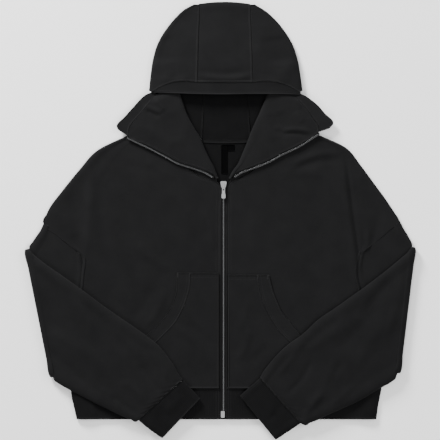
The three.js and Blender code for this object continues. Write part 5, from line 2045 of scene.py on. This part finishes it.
@dataclass
class NeckInside:
    """The tape over the back neck seam and the two bare labels below it."""

    wardrobe: Wardrobe
    tape_cut: Cut = (0.092, 0.012, 0.0006)
    label_cut: Cut = (0.012, 0.058, 0.00069)
    size_cut: Cut = (0.0137, 0.012, 0.00016)
    label_z: float = CLOTH + SEAM + 0.35
    label_thickness: float = 0.7

    def label(self, name: str, node: str, box: tuple[float, float, float, float], cut: Cut) -> None:
        """A bare woven label.

        Args:
            name: The piece's name.
            node: The solid that it stands for.
            box: Its right, left, lower and upper edges.
            cut: Its width and length in metres and its area in square metres.
        """
        right, left, low, high = box
        across, down = np.linspace(right, left, 4), np.linspace(high, low, 6)
        grid = np.array([[(x, y, self.label_z) for x in across] for y in down])
        piece = Piece(name, grid, self.label_thickness, step=(3.0, 2.0), ripple_height=0.12, seed=3.0)
        piece.lay(self.wardrobe, SATIN, node, cut)

    def build(self) -> None:
        """Builds tape and labels."""
        tape = Piece("neck_tape_cloth", neck_tape_grid(), TAPE, step=(3.0, 1.5), ripple_height=0.1)
        tape.lay(self.wardrobe, WOVEN_TAPE, "neck_tape", self.tape_cut)
        self.label("label_cloth", "label", (3.0, 15.0, 92.0, 150.0), self.label_cut)
        self.label("size_label_cloth", "size_label", (15.3, 29.0, 138.0, 150.0), self.size_cut)


@dataclass(frozen=True)
class Lamp:
    """A square soft light: its place and size in metres and its power in watts."""

    name: str
    place: tuple[float, float, float]
    size: float
    power: float


@dataclass
class Studio:
    """A plain pale floor, soft light from above and a camera that looks straight down."""

    frame_width: float = 0.88
    lens: float = 200.0
    sensor: float = 36.0
    floor_half: float = 6.0
    floor_white: float = 0.96
    floor_drop: float = 0.0006
    sky: float = 0.72
    clearance: float = 0.005
    lamps: tuple[Lamp, ...] = (
        Lamp("key", (-1.7, 2.7, 1.25), 0.9, 330.0),
        Lamp("fill", (2.6, 0.6, 2.2), 1.6, 60.0),
        Lamp("front", (-0.6, -2.8, 2.4), 1.6, 60.0),
    )

    def build_floor(self) -> None:
        """The floor, just under the cloth."""
        mesh = bpy.data.meshes.new("floor")
        h = self.floor_half
        mesh.from_pydata([(-h, -h, 0), (h, -h, 0), (h, h, 0), (-h, h, 0)], [], [(0, 1, 2, 3)])
        obj = bpy.data.objects.new("floor", mesh)
        obj.location.z = -self.floor_drop
        bpy.context.scene.collection.objects.link(obj)
        material = bpy.data.materials.new("paper")
        material.use_nodes = True
        shader = material.node_tree.nodes["Principled BSDF"]
        shader.inputs["Base Color"].default_value = (self.floor_white,) * 3 + (1.0,)
        shader.inputs["Roughness"].default_value = 0.95
        shader.inputs["Specular IOR Level"].default_value = 0.1
        mesh.materials.append(material)

    def hang(self, lamp: Lamp) -> None:
        """Hangs a lamp so that it looks at the middle of the garment."""
        data = bpy.data.lights.new(lamp.name, "AREA")
        data.shape = "SQUARE"
        data.size = lamp.size
        data.energy = lamp.power
        obj = bpy.data.objects.new(lamp.name, data)
        obj.location = lamp.place
        direction = -obj.location
        obj.rotation_euler = direction.to_track_quat("-Z", "Y").to_euler()
        bpy.context.scene.collection.objects.link(obj)

    def build(self) -> None:
        """Builds floor, lights, surroundings and camera."""
        self.build_floor()
        for lamp in self.lamps:
            self.hang(lamp)
        world = bpy.data.worlds.new("studio")
        world.use_nodes = True
        background = world.node_tree.nodes["Background"]
        background.inputs["Color"].default_value = (1.0, 1.0, 1.0, 1.0)
        background.inputs["Strength"].default_value = self.sky
        bpy.context.scene.world = world
        data = bpy.data.cameras.new("above")
        data.lens = self.lens
        data.sensor_width = self.sensor
        data.sensor_height = self.sensor
        data.clip_end = 50.0
        camera = bpy.data.objects.new("above", data)
        camera.location = (0.0, 0.0, self.frame_width * self.lens / self.sensor + self.clearance)
        bpy.context.scene.collection.objects.link(camera)
        bpy.context.scene.camera = camera


def main() -> None:
    """Builds every sub-assembly in order."""
    logging.basicConfig(level=logging.INFO, format="%(name)s %(message)s")
    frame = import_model()
    wardrobe = Wardrobe()
    Studio().build()
    BodyPanels(wardrobe).build()
    HemBand(wardrobe).build()
    right = (RIGHT_UPPER_SLEEVE, RIGHT_ELBOW, RIGHT_FOREARM, RIGHT_CUFF)
    SleeveAndCuff(wardrobe, "right", *right, RIGHT_SLEEVE_CREASES, RIGHT_CUFF_CREASES).build()
    left = (LEFT_UPPER_SLEEVE, LEFT_ELBOW, LEFT_FOREARM, LEFT_CUFF)
    SleeveAndCuff(wardrobe, "left", *left, LEFT_SLEEVE_CREASES, LEFT_CUFF_CREASES).build()
    Hood(wardrobe).build()
    RolledFront(wardrobe, "right", RIGHT_LAPEL, RIGHT_LAPEL_BAND, RIGHT_FRONT_CREASES).build()
    RolledFront(wardrobe, "left", LEFT_LAPEL, LEFT_LAPEL_BAND, LEFT_FRONT_CREASES).build()
    NeckInside(wardrobe).build()
    ZipFastener(wardrobe).build(frame["nodes"])


if __name__ == "__main__":
    main()
